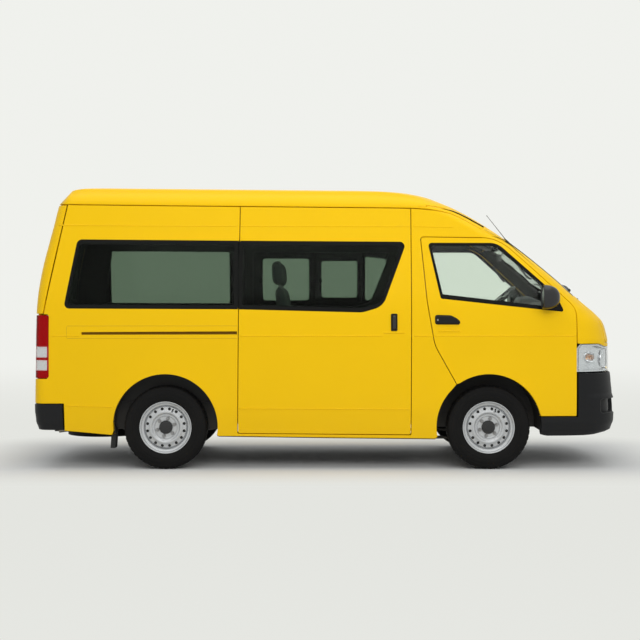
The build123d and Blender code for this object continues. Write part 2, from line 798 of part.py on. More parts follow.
def wishbone(z, inner_y, spread, pin_up):
    """A wishbone from inner_y out to its ball pin, which points up or down."""
    plate = plan_prism([
        (front_axle_x - 30, kingpin_y + 26, 12), (front_axle_x + 30, kingpin_y + 26, 12),
        (front_axle_x + spread, inner_y, 12), (front_axle_x - spread, inner_y, 12)], z, z + arm_thick)
    hole = plan_prism([
        (front_axle_x, kingpin_y - 90, 6), (front_axle_x + spread - 58, inner_y + 50, 10),
        (front_axle_x - spread + 58, inner_y + 50, 10)], z - 1, z + arm_thick + 1)
    pin_low = z if pin_up else z - boss_height + 4
    pin_high = z + arm_thick + boss_height - 4 if pin_up else z + arm_thick
    return plate - hole + bar_z(front_axle_x, kingpin_y, pin_radius, pin_low, pin_high)


lower_arm_z = axle_z - joint_rise - seat_gap - arm_thick
upper_arm_z = axle_z + joint_rise + seat_gap
crossmember = box((front_axle_x - 70, -rail_outer, lower_arm_z - 6),
    (front_axle_x + 70, rail_outer, lower_arm_z + 60))
leg = box((front_axle_x - 50, rail_inner, lower_arm_z + 34), (front_axle_x + 50, rail_outer, rail_low))
half_suspension = wishbone(lower_arm_z, arm_inner_y, 150, True) + leg
torsion_bar = rod((front_axle_x - 90, arm_inner_y + 14, lower_arm_z + 12),
    (cab - 720, arm_inner_y + 14, lower_arm_z + 12), 13)
torsion_hanger = box((cab - 740, arm_inner_y, lower_arm_z), (cab - 700, arm_inner_y + 28, rail_low + 10))
half_suspension = half_suspension + torsion_bar + torsion_hanger
suspension = crossmember + half_suspension + mirrored(half_suspension)
upper_arm = wishbone(upper_arm_z, rail_outer + seat_gap, 105, False)
save("front_suspension", suspension, upper_arm, mirrored(upper_arm))

drum_y = disc_face - 92
half_axle = bar_y(rear_axle_x, axle_z, 44, 0, drum_y + 5) + hub(rear_axle_x, drum_y, drum_radius)
half_axle = half_axle + bar_y(rear_axle_x, axle_z, drum_radius, drum_y, disc_face - 20)
diff = Pos(rear_axle_x, 0, axle_z) * Sphere(135)
spring_y = 520
spring_width = 70
spring_drop = 44
spring_thick = 28
eye_z = axle_z + 20
leaf = side_prism([
    (rear_axle_x - 620, eye_z, 0), (rear_axle_x - 300, axle_z - spring_drop - spring_thick / 2, 900),
    (rear_axle_x + 300, axle_z - spring_drop - spring_thick / 2, 900), (rear_axle_x + 620, eye_z, 0),
    (rear_axle_x + 620, eye_z + 16, 0), (rear_axle_x + 300, axle_z - spring_drop + spring_thick / 2, 900),
    (rear_axle_x - 300, axle_z - spring_drop + spring_thick / 2, 900), (rear_axle_x - 620, eye_z + 16, 0),
], spring_y - spring_width / 2, spring_y + spring_width / 2)
spring_clamp = box((rear_axle_x - 50, spring_y - 45, axle_z - 70),
    (rear_axle_x + 50, spring_y + 45, axle_z))
shackle = box((rear_axle_x - 622, rail_outer - 10, eye_z - 12),
    (rear_axle_x - 590, spring_y + 45, eye_z + 26))
shackle = shackle + box((rear_axle_x - 622, rail_outer, eye_z),
    (rear_axle_x - 590, rail_outer + 24, rail_top))
front_eye = shackle.translate((1212, 0, 0))
half_axle = half_axle + leaf + spring_clamp + shackle + front_eye
engine_rear_x = cab - 520
prop_shaft = rod((rear_axle_x, 0, axle_z), (engine_rear_x - seat_gap, 0, axle_z + 12), 32)
save("rear_axle", half_axle + mirrored(half_axle) + diff + prop_shaft)

engine = box((engine_rear_x, -engine_half, 300), (cab + 90, engine_half, cover_top - cover_skin - 20))
engine_mount = box((cab - 260, engine_half, rail_low + 20), (cab - 180, rail_inner, rail_low + 70))
engine = engine + engine_mount + mirrored(engine_mount)
save("engine", engine)

tank = box((back + 660, rail_outer + 20, 262), (back + 1500, 745, rail_top - 20))
tank = fillet(tank.edges().filter_by(Axis.X), 40)
tank = tank + box((back + 720, rail_outer, rail_low + 20), (back + 780, rail_outer + 30, rail_top - 30))
tank = tank + box((back + 1380, rail_outer, rail_low + 20), (back + 1440, rail_outer + 30, rail_top - 30))
save("fuel_tank", tank)

pipe_y = -560
pipe_radius = 22
over_axle_y = -457
exhaust_tip = 188
over_axle_z = 430
pipe_route = [
    (cab - 430, -engine_half + 2, 340), (cab - 700, -engine_half - 150, 340), (back + 1450, pipe_y, 340),
    (back + 800, pipe_y, 340), (back + 680, over_axle_y, over_axle_z),
    (back - 660, over_axle_y, over_axle_z),
    (back - 800, pipe_y, 300), (tail_x + exhaust_tip, pipe_y, 286),
]
exhaust = rod((back + 700, pipe_y, 330), (back + 1350, pipe_y, 330), 72)
for a, b in zip(pipe_route, pipe_route[1:]):
    exhaust = exhaust + rod(a, b, pipe_radius)
for point in pipe_route[1:-1]:
    exhaust = exhaust + Pos(*point) * Sphere(pipe_radius)
save("exhaust", exhaust - box((engine_rear_x - 1, -engine_half - seat_gap, 200), (cab, engine_half, 600)))

spare_x = back - 610
spare = Pos(spare_x, 0, rail_low - 92) * Cylinder(318, 165)
spare = spare - Pos(spare_x, 0, rail_low - 92) * Cylinder(190, 400)
spare = spare + Pos(spare_x, 0, rail_low - 60) * Cylinder(195, 12)
spare = spare + bar_z(spare_x, 0, 20, rail_low - 60, rail_low + 12)
spare = spare + box((spare_x - 330, -30, rail_low - 8), (spare_x + 330, 30, rail_low + 9.5))
save("spare_wheel", spare)

# ---- inside the cab and cabin ----
dash_back_x = cab + 400
dash_outline = [
    (dash_back_x + 60, 900, 40), (dash_back_x, 1130, 60),
    (dash_back_x + 20, 1270, 60), (dash_back_x + 120, 1330, 60),
    (nose_x - 300, 1290, 0), (nose_x - 200, 1100, 0), (nose_x - 200, 780, 0), (dash_back_x + 260, 780, 0)]
# the door's front edge swings into this space
swing_zone = box((door_front_x - 100, half_body - 116, 700), (bumper_rear_x + 6, half_body, 1400))
dash = side_prism(dash_outline, -half_body, half_body) & inner
dash = dash - door_zone - swing_zone - mirrored(swing_zone)
wheel_hub = Vector(cab + 255, 430, 1336)
column_slope = 42              # degrees between the steering wheel's plane and level
column_dir = Vector(-sin(radians(column_slope)), 0, cos(radians(column_slope)))
column_top = wheel_hub - column_dir * 26
column = rod(tuple(wheel_hub - column_dir * 330), tuple(column_top), 38)
column = column & side_prism([(cab, 900, 0), (cab + 700, 900, 0), (cab + 700, 1600, 0), (cab, 1600, 0)],
    0, far_y)
shaft_radius = 10
shaft_end = wheel_hub - column_dir * 70
column = column - rod(tuple(shaft_end - column_dir * 4), tuple(wheel_hub), shaft_radius + running_gap)
save("dashboard", dash + column)

steering_radius = 188
rim_plane = Plane(origin=wheel_hub, z_dir=column_dir)
steering = rim_plane * Torus(steering_radius, 14)
steering = steering + rim_plane * Cylinder(46, 44)
for angle in (0, 120, 240):
    spoke = Pos(steering_radius / 2, 0, 0) * Box(steering_radius, 34, 14)
    steering = steering + rim_plane * Rot(0, 0, angle + 90) * spoke
steering = steering + rod(tuple(shaft_end), tuple(wheel_hub), shaft_radius)
save("steering_wheel", steering)


def seat(x, y, width, base_z, cushion_z, back_top, lean, head_top):
    """A seat facing forward; x is the cushion's rear edge, lean the back's set at its top."""
    half = width / 2
    cushion = fillet(box((x, y - half, cushion_z), (x + 490, y + half, cushion_z + 130)).edges(), 40)
    back_foot = x + 10
    backrest = side_prism([
        (back_foot, cushion_z + 40, 30), (back_foot + 120, cushion_z + 60, 30),
        (back_foot + 110 - lean, back_top, 40), (back_foot + 20 - lean, back_top, 40),
    ], y - half + 6, y + half - 6)
    shape = cushion + backrest
    post = rod((back_foot + 62 - lean, y, back_top - 60), (back_foot + 58 - lean, y, head_top - 60), 9)
    head = box((back_foot + 5 - lean, y - 125, head_top - 175), (back_foot + 110 - lean, y + 125, head_top))
    shape = shape + fillet(head.edges(), 30) + post
    return shape + box((x + 60, y - half + 60, base_z), (x + 430, y + half - 60, cushion_z + 40))


seat_x = cab - 520
front_seat_top = 1600
driver = seat(seat_x, 430, 500, cover_top + seat_gap, 880, front_seat_top, 150, 1790)
passenger = seat(seat_x, -430, 500, cover_top + seat_gap, 880, front_seat_top, 150, 1790)
front_seats = (driver + passenger) - box((seat_x - 300, cover_half, 0), (seat_x + 700, far_y, 870)) - box(
    (seat_x - 300, -far_y, 0), (seat_x + 700, -cover_half, 870))
save("front_seats", front_seats)

row_x = cab - 1615
row_seats = [seat(row_x, y, 440, floor_top + seat_gap, 850, 1480, 130, 1673) for y in (-450, 0, 450)]
save("second_row_seats", *row_seats)

bench_x = back - 420
bench = fillet(box((bench_x, -560, 760), (bench_x + 520, 560, 880)).edges(), 40)
folded = fillet(box((bench_x + 20, -550, 890), (bench_x + 560, 550, 980)).edges(), 36)
bench_base = box((bench_x + 60, -500, floor_top + seat_gap), (bench_x + 420, 500, 790))
hinge_block = box((bench_x + 10, -300, 800), (bench_x + 70, 300, 940))
save("third_row_seats", bench + folded + bench_base + hinge_block)

# ---- fittings outside ----
flap_x = back - 403
flap_outer_y = half_body - wall - 46
flap = box((flap_x - 12, wheel_y - 110, 160), (flap_x, flap_outer_y, 325))
flap = flap + box((back - 422.6, wheel_y - 90, 301), (flap_x, flap_outer_y - 20, 325))
save("mudflaps", flap, mirrored(flap))

wiper_face = proud_skin & front_prism([(-560, 1419, 0), (-540, 1404, 0), (40, 1506, 0), (34, 1531, 0)],
    cab, nose_x)
wiper_left = proud_skin & front_prism([(60, 1405, 0), (80, 1390, 0), (640, 1476, 0), (634, 1501, 0)],
    cab, nose_x)
save("wipers", wiper_face, wiper_left)

whip_foot = Vector(cab + 180, -643, 1808)
whip_tip = Vector(cab + 7, -640, 2028)
whip_dir = (whip_tip - whip_foot).normalized()
whip_base = rod(tuple(whip_foot - whip_dir * 30), tuple(whip_foot + whip_dir * 30), 10)
whip = rod(tuple(whip_foot), tuple(whip_tip), 2.5) + whip_base
save("antenna", whip - outer)
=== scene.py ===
from math import acos, atan2, cos, hypot, pi, radians, sin, sqrt, tan

import bmesh
import bpy
import numpy as np
from mathutils import Matrix, Vector
from mathutils.geometry import delaunay_2d_cdt


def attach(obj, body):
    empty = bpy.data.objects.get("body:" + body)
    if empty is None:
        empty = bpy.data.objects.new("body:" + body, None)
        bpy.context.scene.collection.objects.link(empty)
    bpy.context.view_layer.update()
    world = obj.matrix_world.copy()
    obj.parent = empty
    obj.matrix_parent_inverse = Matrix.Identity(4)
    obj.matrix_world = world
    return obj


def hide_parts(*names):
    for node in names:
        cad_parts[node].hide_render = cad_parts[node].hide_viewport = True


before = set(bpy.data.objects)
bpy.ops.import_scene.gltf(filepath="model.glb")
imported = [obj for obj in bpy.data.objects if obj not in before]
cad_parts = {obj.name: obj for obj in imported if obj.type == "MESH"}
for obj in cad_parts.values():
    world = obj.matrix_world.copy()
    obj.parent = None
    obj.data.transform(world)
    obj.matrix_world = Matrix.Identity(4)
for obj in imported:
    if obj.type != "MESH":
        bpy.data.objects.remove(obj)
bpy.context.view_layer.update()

mm = 0.001

# main sizes in millimetres: +x forwards, +y to the left, z up from the floor
van = {
    "halfLength": 2370, "halfBody": 847.5, "frontAxle": 1285, "rearAxle": -1285,
    "wheelY": 735, "axleZ": 332, "archZ": 342, "archRadius": 416, "rake": 0.55, "wall": 52,
}
cab, back = van["frontAxle"], van["rearAxle"]
nose, tail = van["halfLength"], -van["halfLength"]


def nodeGroup(name, inputs, outputs):
    group = bpy.data.node_groups.new(name, "ShaderNodeTree")
    for side, sockets in (("INPUT", inputs), ("OUTPUT", outputs)):
        for label, kind, *value in sockets:
            socket = group.interface.new_socket(label, in_out=side, socket_type="NodeSocket" + kind)
            if value:
                socket.default_value = value[0]
    return group, group.nodes.new("NodeGroupInput"), group.nodes.new("NodeGroupOutput")


# height, side tuck, nose back, tail in, corner radius, bow of the front
bodyRings = np.array([
    (200, 48, 90, 60, 325, 3980), (235, 41, 76, 52, 330, 4000),
    (470, 10, 41, 33, 350, 4100), (486, 8.5, 40, 32, 350, 4100),
    (760, 3, 46, 33, 350, 4100), (1040, .4, 55, 34, 350, 4100),
    (1060, 0, 58, 34, 350, 4100), (1076, .8, 62, 34.4, 348, 4090),
    (1183, 5, 95, 35, 335, 4050), (1263, 9, 167, 37, 310, 3900),
    (1343, 15.5, 265, 42, 270, 3800), (1543, 46, 489, 66, 225, 3400),
    (1825, 94, 844, 124, 204, 2860), (1943, 115, 1017, 150, 215, 2600),
    (2022, 129, 1143, 165, 240, 2400), (2110, 145, 1306, 188, 280, 2100),
    (2160, 163, 1425, 212, 292, 1940), (2190, 185, 1500, 235, 300, 1800),
    (2214, 217, 1590, 270, 300, 1650), (2232, 265, 1690, 320, 300, 1500),
    (2244, 352, 1880, 430, 300, 1330), (2250, 450, 2080, 560, 300, 1200),
    (2253.5, 640, 2420, 900, 200, 900), (2255, 838, 2760, 1400, 9, 500),
])
# level with the floor
bumperRings = np.array([
    (240, 60, 330, 150, 260, 3900), (255, 52, 262, 130, 262, 3900), (268, 45, 128, 70, 264, 3900),
    (288, 36, 60, 45, 266, 4000), (312, 27, 24, 28, 264, 4100), (384, 12, 3, 8, 262, 4100),
    (470, 6, 0, 0, 262, 4100), (560, 3, 4, 0, 266, 4100), (604, 2, 8, 0, 318, 4100),
    (700, 0, 16, 2, 326, 4100), (780, -1, 24, 4, 330, 4100), (900, -1, 40, 4, 330, 4100),
])


def smoothColumns(rows):
    # a curve through every row with no overshoot between them
    x, y = rows[:, 0], rows[:, 1:]
    h = np.diff(x)[:, None]
    d = np.diff(y, axis=0) / h
    m = np.zeros_like(y)
    m[0], m[-1] = d[0], d[-1]
    same = d[:-1] * d[1:] > 0
    w1, w2 = 2 * h[1:] + h[:-1], h[1:] + 2 * h[:-1]
    with np.errstate(divide="ignore", invalid="ignore"):
        m[1:-1] = np.where(same, (w1 + w2) / (w1 / d[:-1] + w2 / d[1:]), 0)
    return x, y, m


bodyTable, bumperTable = smoothColumns(bodyRings), smoothColumns(bumperRings)


def ringAt(table, z):
    x, y, m = table
    i = np.clip(np.searchsorted(x, z) - 1, 0, len(x) - 2)
    h = x[i + 1] - x[i]
    t = ((np.clip(z, x[0], x[-1]) - x[i]) / h)[:, None]
    h = h[:, None]
    return (y[i] * (1 + 2 * t) * (1 - t) ** 2 + m[i] * h * t * (1 - t) ** 2
            + y[i + 1] * t * t * (3 - 2 * t) + m[i + 1] * h * t * t * (t - 1))


def planDistance(table, x, y, z, inset):
    # how far a point lies outside the ring at its height
    tuck, noseBack, tailIn, corner, bow = ringAt(table, z).T
    half = van["halfBody"] - tuck - inset
    front, rear = nose - noseBack - inset, tail + tailIn + inset
    corner, bow = np.maximum(corner - inset, 8), bow - inset
    y = abs(y)
    bowX, cornerY = front - bow, half - corner
    cornerX = bowX + np.sqrt(np.maximum((bow - corner) ** 2 - cornerY ** 2, 1))
    backR = np.minimum(np.maximum(95 - inset, 20), half - 1)
    backX, backY = rear + backR, half - backR
    flat = np.maximum(np.maximum(y - half, rear - x), np.hypot(x - bowX, y) - bow)
    dx, dy = x - cornerX, y - cornerY
    inCorner = (dx > 0) & (dy > 0) & (dy * (cornerX - bowX) > dx * cornerY)
    out = np.where(inCorner, np.hypot(dx, dy) - corner, flat)
    inBack = (x < backX) & (y > backY)
    out = np.where(inBack, np.hypot(x - backX, y - backY) - backR, out)
    return np.maximum(out, z - table[0][-1])


rakeSin, rakeCos = sin(radians(van["rake"])), cos(radians(van["rake"]))


def smoothStep(t):
    t = np.clip(t, 0, 1)
    return t * t * (3 - 2 * t)


flare = {"proud": 7, "wide": 158, "lip": 13}


def bodyRelief(x, y, z):
    # pressed features of the steel, outwards
    out = np.zeros_like(x)
    side = smoothStep((abs(y) - 760) / 50)
    for axle in (cab, back):
        r = np.hypot(x - axle, z - van["archZ"])
        t = np.clip((r - van["archRadius"]) / flare["wide"], 0, 1)
        bulge = flare["proud"] * (1 - t) * (1 - .25 * t)
        lip = 2.2 * (1 - smoothStep((r - van["archRadius"] - flare["lip"]) / 5))
        out += side * (bulge + lip) * smoothStep((z - 180) / 60)
    return out


def bodyForm(p, inset=0.0):
    x, y, z = p.T
    x0, z0 = x * rakeCos - z * rakeSin, x * rakeSin + z * rakeCos
    d = planDistance(bodyTable, x0, y, z0, inset)
    return d - (bodyRelief(x, y, z) if inset < 10 else 0)


def bumperForm(p, inset=0.0):
    # the front one's upper half stands a step back above its crease; the rear one bows towards its middle
    x, y, z = p.T
    step = 5 * smoothStep((z - 577) / 9) if inset < 10 else 0
    bow = np.where(x < 0, 34 * (np.minimum(abs(y), 760) / 760) ** 2, 0)
    return planDistance(bumperTable, x - bow, y, z, inset) + step


# ways of laying a flat outline onto the form: where each ray starts and which way it goes
def sideWay(s):
    return lambda q: (np.column_stack([q[:, 0], 0 * q[:, 0], q[:, 1]]), np.tile((0.0, s, 0.0), (len(q), 1)))


def frontWay(x=900.0):
    return lambda q: (np.column_stack([0 * q[:, 0] + x, q]), np.tile((1.0, 0.0, 0.0), (len(q), 1)))


def rearWay(x=-1300.0):
    return lambda q: (np.column_stack([0 * q[:, 0] + x, q]), np.tile((-1.0, 0.0, 0.0), (len(q), 1)))


def topWay(z=1200.0):
    return lambda q: (np.column_stack([q, 0 * q[:, 0] + z]), np.tile((0.0, 0.0, 1.0), (len(q), 1)))


def roundWay(x, radius, ahead=1):
    # unrolled round a post at x: the first number is the arc, the second the height
    def rays(q):
        a = q[:, 0] / radius
        start = np.column_stack([0 * a + x, 0 * a, q[:, 1]])
        return start, np.column_stack([ahead * np.cos(a), np.sin(a), 0 * a])
    return rays


def unroll(points, x, radius, ahead=1):
    p = np.asarray(points, float)
    return np.column_stack([np.arctan2(p[:, 1], ahead * (p[:, 0] - x)) * radius, p[:, 2]])


def land(way, q, form=bodyForm, inset=0.0, reach=2600.0):
    q = np.asarray(q, float).reshape(-1, 2)
    start, step = way(q)
    low, high = np.zeros(len(q)), np.full(len(q), reach)
    for _ in range(34):
        middle = (low + high) / 2
        inside = form(start + step * middle[:, None], inset) < 0
        low, high = np.where(inside, middle, low), np.where(inside, high, middle)
    return start + step * low[:, None]


def normalsAt(p, form=bodyForm, inset=0.0):
    e = .4
    n = np.column_stack([form(p + e * a, inset) - form(p - e * a, inset) for a in np.eye(3)])
    return n / np.maximum(np.linalg.norm(n, axis=1), 1e-9)[:, None]


def outline(corners, step=14.0):
    # corners (u, v, radius, joined): joined marks the edge that leaves a corner as butted to its neighbour
    pts, flags = [], []
    n = len(corners)
    ends = []
    for i, c in enumerate(corners):
        p, a, b = (np.array(k[:2], float) for k in (c, corners[i - 1], corners[(i + 1) % n]))
        r = c[2] if len(c) > 2 else 0
        da, db = (a - p) / np.linalg.norm(a - p), (b - p) / np.linalg.norm(b - p)
        if r and abs(np.dot(da, db)) < .9999:
            half = acos(np.clip(np.dot(da, db), -1, 1)) / 2
            reach = min(r / tan(half), .48 * np.linalg.norm(a - p), .48 * np.linalg.norm(b - p))
            r = reach * tan(half)
            centre = p + (da + db) / np.linalg.norm(da + db) * r / sin(half)
            s, t = p + da * reach - centre, p + db * reach - centre
            turn = atan2(s[0] * t[1] - s[1] * t[0], np.dot(s, t))
            count = max(2, int(abs(turn) * r / min(step, 9) + 2), int(abs(turn) / .14))
            arc = []
            for k in range(count + 1):
                w = turn * k / count
                arc.append(centre + (s[0] * cos(w) - s[1] * sin(w), s[0] * sin(w) + s[1] * cos(w)))
            ends.append(arc)
        else:
            ends.append([p])
    for i, arc in enumerate(ends):
        joined = bool(len(corners[i]) > 3 and corners[i][3])
        cameJoined = bool(len(corners[i - 1]) > 3 and corners[i - 1][3])
        for k, p in enumerate(arc):
            pts.append(p)
            flags.append(joined if k == len(arc) - 1 else (joined and cameJoined))
        q = ends[(i + 1) % n][0]
        count = int(np.linalg.norm(q - arc[-1]) / step)
        for k in range(1, count + 1):
            pts.append(arc[-1] + (q - arc[-1]) * k / (count + 1))
            flags.append(joined)
    keep = [i for i in range(len(pts)) if np.linalg.norm(pts[i] - pts[i - 1]) > .05]
    return np.array([pts[i] for i in keep]), np.array([flags[i] for i in keep])


def cornersOf(points, radius=0.0):
    return [(float(a), float(b), radius) for a, b in points]


def areaOf(q):
    a, b = q, np.roll(q, -1, 0)
    return (a[:, 0] * b[:, 1] - b[:, 0] * a[:, 1]).sum() / 2


def shifted(q, flags, amount):
    # the loop moved towards its left by amount, except along joined edges
    after = np.roll(q, -1, 0) - q
    after /= np.maximum(np.linalg.norm(after, axis=1), 1e-9)[:, None]
    before = np.roll(after, 1, 0)
    nb, na = np.column_stack([-before[:, 1], before[:, 0]]), np.column_stack([-after[:, 1], after[:, 0]])
    db, da = np.where(np.roll(flags, 1), 0, amount), np.where(flags, 0, amount)
    cross = before[:, 0] * after[:, 1] - before[:, 1] * after[:, 0]
    mitre = (nb + na) / np.maximum(1 + (nb * na).sum(1), .2)[:, None] * amount
    mitre = np.where((db == 0)[:, None] & (da == 0)[:, None], 0, mitre)
    safe = np.where(abs(cross) < .05, 1, cross)
    along = q + (before * (da / safe)[:, None]) - (after * (db / safe)[:, None])
    mixed = (da != db) & (abs(cross) > .05)
    easy = (da != db) & (abs(cross) <= .05)
    mitre = np.where(easy[:, None], (nb + na) / 2 * ((da + db) / 2)[:, None], mitre)
    return np.where(mixed[:, None], along, q + mitre)


def unjoined(q):
    return np.zeros(len(q), bool)


def inLoop(p, q):
    inside = np.zeros(len(p), bool)
    x, y = p.T
    for (x1, y1), (x2, y2) in zip(q, np.roll(q, -1, 0)):
        if y1 != y2:
            inside ^= ((y1 > y) != (y2 > y)) & (x < (x2 - x1) * (y - y1) / (y2 - y1) + x1)
    return inside


def edgeDistance(p, q):
    best = np.full(len(p), 1e9)
    for a, b in zip(q, np.roll(q, -1, 0)):
        d = b - a
        t = np.clip(((p - a) @ d) / max(d @ d, 1e-9), 0, 1)
        best = np.minimum(best, np.linalg.norm(p - a - t[:, None] * d, axis=1))
    return best


def fillLoops(loops, grid, extra=(), bands=()):
    # triangles inside the first loop and outside the rest; extra holds loops drawn across the face
    every = np.vstack([*loops, *extra])
    low, high = loops[0].min(0), loops[0].max(0)
    nx, ny = int((high[0] - low[0]) / grid) + 2, int((high[1] - low[1]) / (grid * .866)) + 2
    gx, gy = np.meshgrid(np.arange(nx), np.arange(ny))
    pts = np.column_stack([(low[0] + (gx + .5 * (gy % 2)) * grid).ravel(),
                           (low[1] + gy * grid * .866).ravel()])
    inside = inLoop(pts, loops[0])
    for q in loops[1:]:
        inside &= ~inLoop(pts, q)
    pts = pts[inside]
    for q in list(loops) + list(extra):
        pts = pts[edgeDistance(pts, q) > grid * .55]
    edges, at = [], 0
    for q in list(loops) + list(extra):
        edges += [(at + i, at + (i + 1) % len(q)) for i in range(len(q))]
        at += len(q)
    for amount in bands:
        free = shifted(loops[0], unjoined(loops[0]), amount)[::1 + (amount > 30)]
        free = free[inLoop(free, loops[0])]
        free = free[edgeDistance(free, loops[0]) > amount * .93]
        pts = np.vstack([pts[edgeDistance(pts, loops[0]) > bands[-1] + grid * .5], free])
    coords = np.vstack([every, pts])
    made = delaunay_2d_cdt([Vector(c) for c in coords], edges, [], 0, 1e-5)
    verts = np.array([tuple(v) for v in made[0]])
    faces = np.array([f for f in made[2] if len(f) == 3])
    middle = verts[faces].mean(1)
    keep = inLoop(middle, loops[0])
    for q in loops[1:]:
        keep &= ~inLoop(middle, q)
    return verts, faces[keep]


def skin(outer, way, holes=(), form=bodyForm, inset=0.0, grid=24.0, roll=4.0, depth=40.0, inward=False,
         marks=(), sink=0.0, steps=3, bands=()):
    # a sheet laid on the form, its edges rolled over and carried in by depth
    loops = []
    for k, (q, flags) in enumerate([outer, *holes]):
        if (areaOf(q) > 0) != (k == 0):
            q, flags = q[::-1], np.roll(flags[::-1], -1)
        loops.append((q, flags))
    rows = []
    for q, flags in loops:
        rows.append([shifted(q, flags, roll * (1 - sin(pi / 2 * k / steps))) for k in range(steps + 1)])
    flat, faces = fillLoops([r[0] for r in rows], grid, [m[0] for m in marks], bands)
    side = -1 if inward else 1
    p = land(way, flat, form, inset)
    n = normalsAt(p, form, inset)
    verts, normals = [p - n * sink], [n * side]
    tris = [faces]
    mats = np.zeros(len(faces), int)
    middle = flat[faces].mean(1)
    for q, index in marks:
        mats[inLoop(middle, q)] = index
    mats = [mats]
    at = len(flat)
    for (q, flags), row in zip(loops, rows):
        outP = land(way, q, form, inset)
        inP = land(way, shifted(q, unjoined(q), 3.0), form, inset)
        strip = []
        for k, r in enumerate(row):
            s = land(way, r, form, inset)
            m = normalsAt(s, form, inset)
            t = outP - inP
            t -= m * (t * m).sum(1)[:, None]
            t /= np.maximum(np.linalg.norm(t, axis=1), 1e-6)[:, None]
            a = pi / 2 * k / steps
            drop = roll * (1 - cos(a)) + sink
            strip.append((s - m * drop * side, m * side * cos(a) + t * sin(a)))
        strip.append((strip[-1][0] - normalsAt(strip[-1][0], form, inset) * (depth - roll) * side, t))
        count = len(q)
        edgeMat = np.zeros(count, int)
        for loop, index in marks:
            edgeMat[inLoop(q, np.asarray(loop))] = index
        for s, m in strip:
            verts.append(s)
            normals.append(m)
        for k in range(len(strip) - 1):
            for i in range(count):
                if flags[i]:
                    continue
                j = (i + 1) % count
                low, high = at + k * count, at + (k + 1) * count
                a, b, c, d = low + i, low + j, high + j, high + i
                tris.append(np.array([(a, b, c), (a, c, d)]))
                mats.append(np.full(2, edgeMat[i]))
        at += count * len(strip)
    verts, normals, tris, mats = np.vstack(verts), np.vstack(normals), np.vstack(tris), np.concatenate(mats)
    a, b, c = (verts[tris[:, k]] for k in range(3))
    wrong = (np.cross(b - a, c - a) * (normals[tris[:, 0]] + normals[tris[:, 1]]
                                       + normals[tris[:, 2]])).sum(1) < 0
    tris[wrong] = tris[wrong][:, ::-1]
    return {"verts": verts, "normals": normals, "faces": tris, "mats": mats}


def keepUsed(sheet):
    used, back = np.unique(sheet["faces"], return_inverse=True)
    return {"verts": sheet["verts"][used], "normals": sheet["normals"][used], "faces": back.reshape(-1, 3),
            "mats": sheet["mats"]}


def flipped(sheet):
    m = np.array([1, -1, 1])
    return {"verts": sheet["verts"] * m, "normals": sheet["normals"] * m, "faces": sheet["faces"][:, ::-1],
            "mats": sheet["mats"]}


def withMaterial(sheet, index):
    return {**sheet, "mats": sheet["mats"] * 0 + index}


def sheetPiece(name, sheets, materials, body, nodes=(), slotName=None):
    sheets = [keepUsed(s) for s in sheets]
    verts = np.vstack([s["verts"] for s in sheets]) * mm
    faces, at = [], 0
    for s in sheets:
        faces.append(s["faces"] + at)
        at += len(s["verts"])
    mesh = bpy.data.meshes.new(name)
    mesh.from_pydata(verts.tolist(), [], np.vstack(faces).tolist())
    for m in materials:
        mesh.materials.append(m)
    mesh.polygons.foreach_set("material_index", np.concatenate([s["mats"] for s in sheets]).astype(np.int32))
    mesh.polygons.foreach_set("use_smooth", np.ones(len(mesh.polygons), bool))
    mesh.update()
    mesh.normals_split_custom_set_from_vertices(np.vstack([s["normals"] for s in sheets]).tolist())
    return place(bpy.data.objects.new(name, mesh), body, nodes, slotName)


def place(piece, body, nodes=(), slotName=None):
    if piece.name not in bpy.context.scene.collection.all_objects:
        bpy.context.scene.collection.objects.link(piece)
    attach(piece, body)
    if nodes:
        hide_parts(*nodes)
    return piece


def sheetPair(label, sheets, materials, body="body", node=None, slotName=None):
    # a piece and its mirror image on the left; {} in a body or a node stands for the side
    for side, turn in (("right", lambda s: s), ("left", flipped)):
        nodes = [node.format(side)] if node else []
        sheetPiece(side + label, [turn(s) for s in sheets], materials, body.format(side), nodes, slotName)


def meshOf(bm, name):
    mesh = bpy.data.meshes.new(name)
    bm.to_mesh(mesh)
    bm.free()
    return mesh


def asMade(o):
    # the mesh that an object's modifiers give
    return bpy.data.meshes.new_from_object(o.evaluated_get(bpy.context.evaluated_depsgraph_get()))


def smoothed(mesh, materials, sharp=None):
    for m in materials:
        mesh.materials.append(m)
    for f in mesh.polygons:
        f.use_smooth = True
    if sharp:
        mesh.set_sharp_from_angle(angle=radians(sharp))


def linked(name, mesh):
    o = bpy.data.objects.new(name, mesh)
    bpy.context.scene.collection.objects.link(o)
    return o


def softEdges(piece, width, angle):
    if width:
        edge = piece.modifiers.new("edge", "BEVEL")
        edge.width, edge.segments = width * mm, 2
        edge.limit_method, edge.angle_limit = "ANGLE", radians(angle)


def meshPiece(name, build, materials, body="body", nodes=(), slotName=None, sharp=32, bevel=0.0,
              mirrorY=False):
    # build(bm) draws in millimetres
    bm = bmesh.new()
    build(bm)
    bmesh.ops.recalc_face_normals(bm, faces=bm.faces)
    if mirrorY:
        bmesh.ops.transform(bm, matrix=Matrix.Diagonal((1, -1, 1, 1)), verts=bm.verts)
        bmesh.ops.reverse_faces(bm, faces=bm.faces)
    bmesh.ops.transform(bm, matrix=Matrix.Diagonal((mm, mm, mm, 1)), verts=bm.verts)
    mesh = meshOf(bm, name)
    smoothed(mesh, materials, sharp)
    piece = linked(name, mesh)
    softEdges(piece, bevel, 34)
    return place(piece, body, nodes, slotName)


def meshPair(label, build, materials, body="body", node=None, slotName=None, **extra):
    for side in ("right", "left"):
        nodes = [node.format(side)] if node else []
        meshPiece(side + label, build, materials, body.format(side), nodes, slotName, mirrorY=side == "left",
                  **extra)


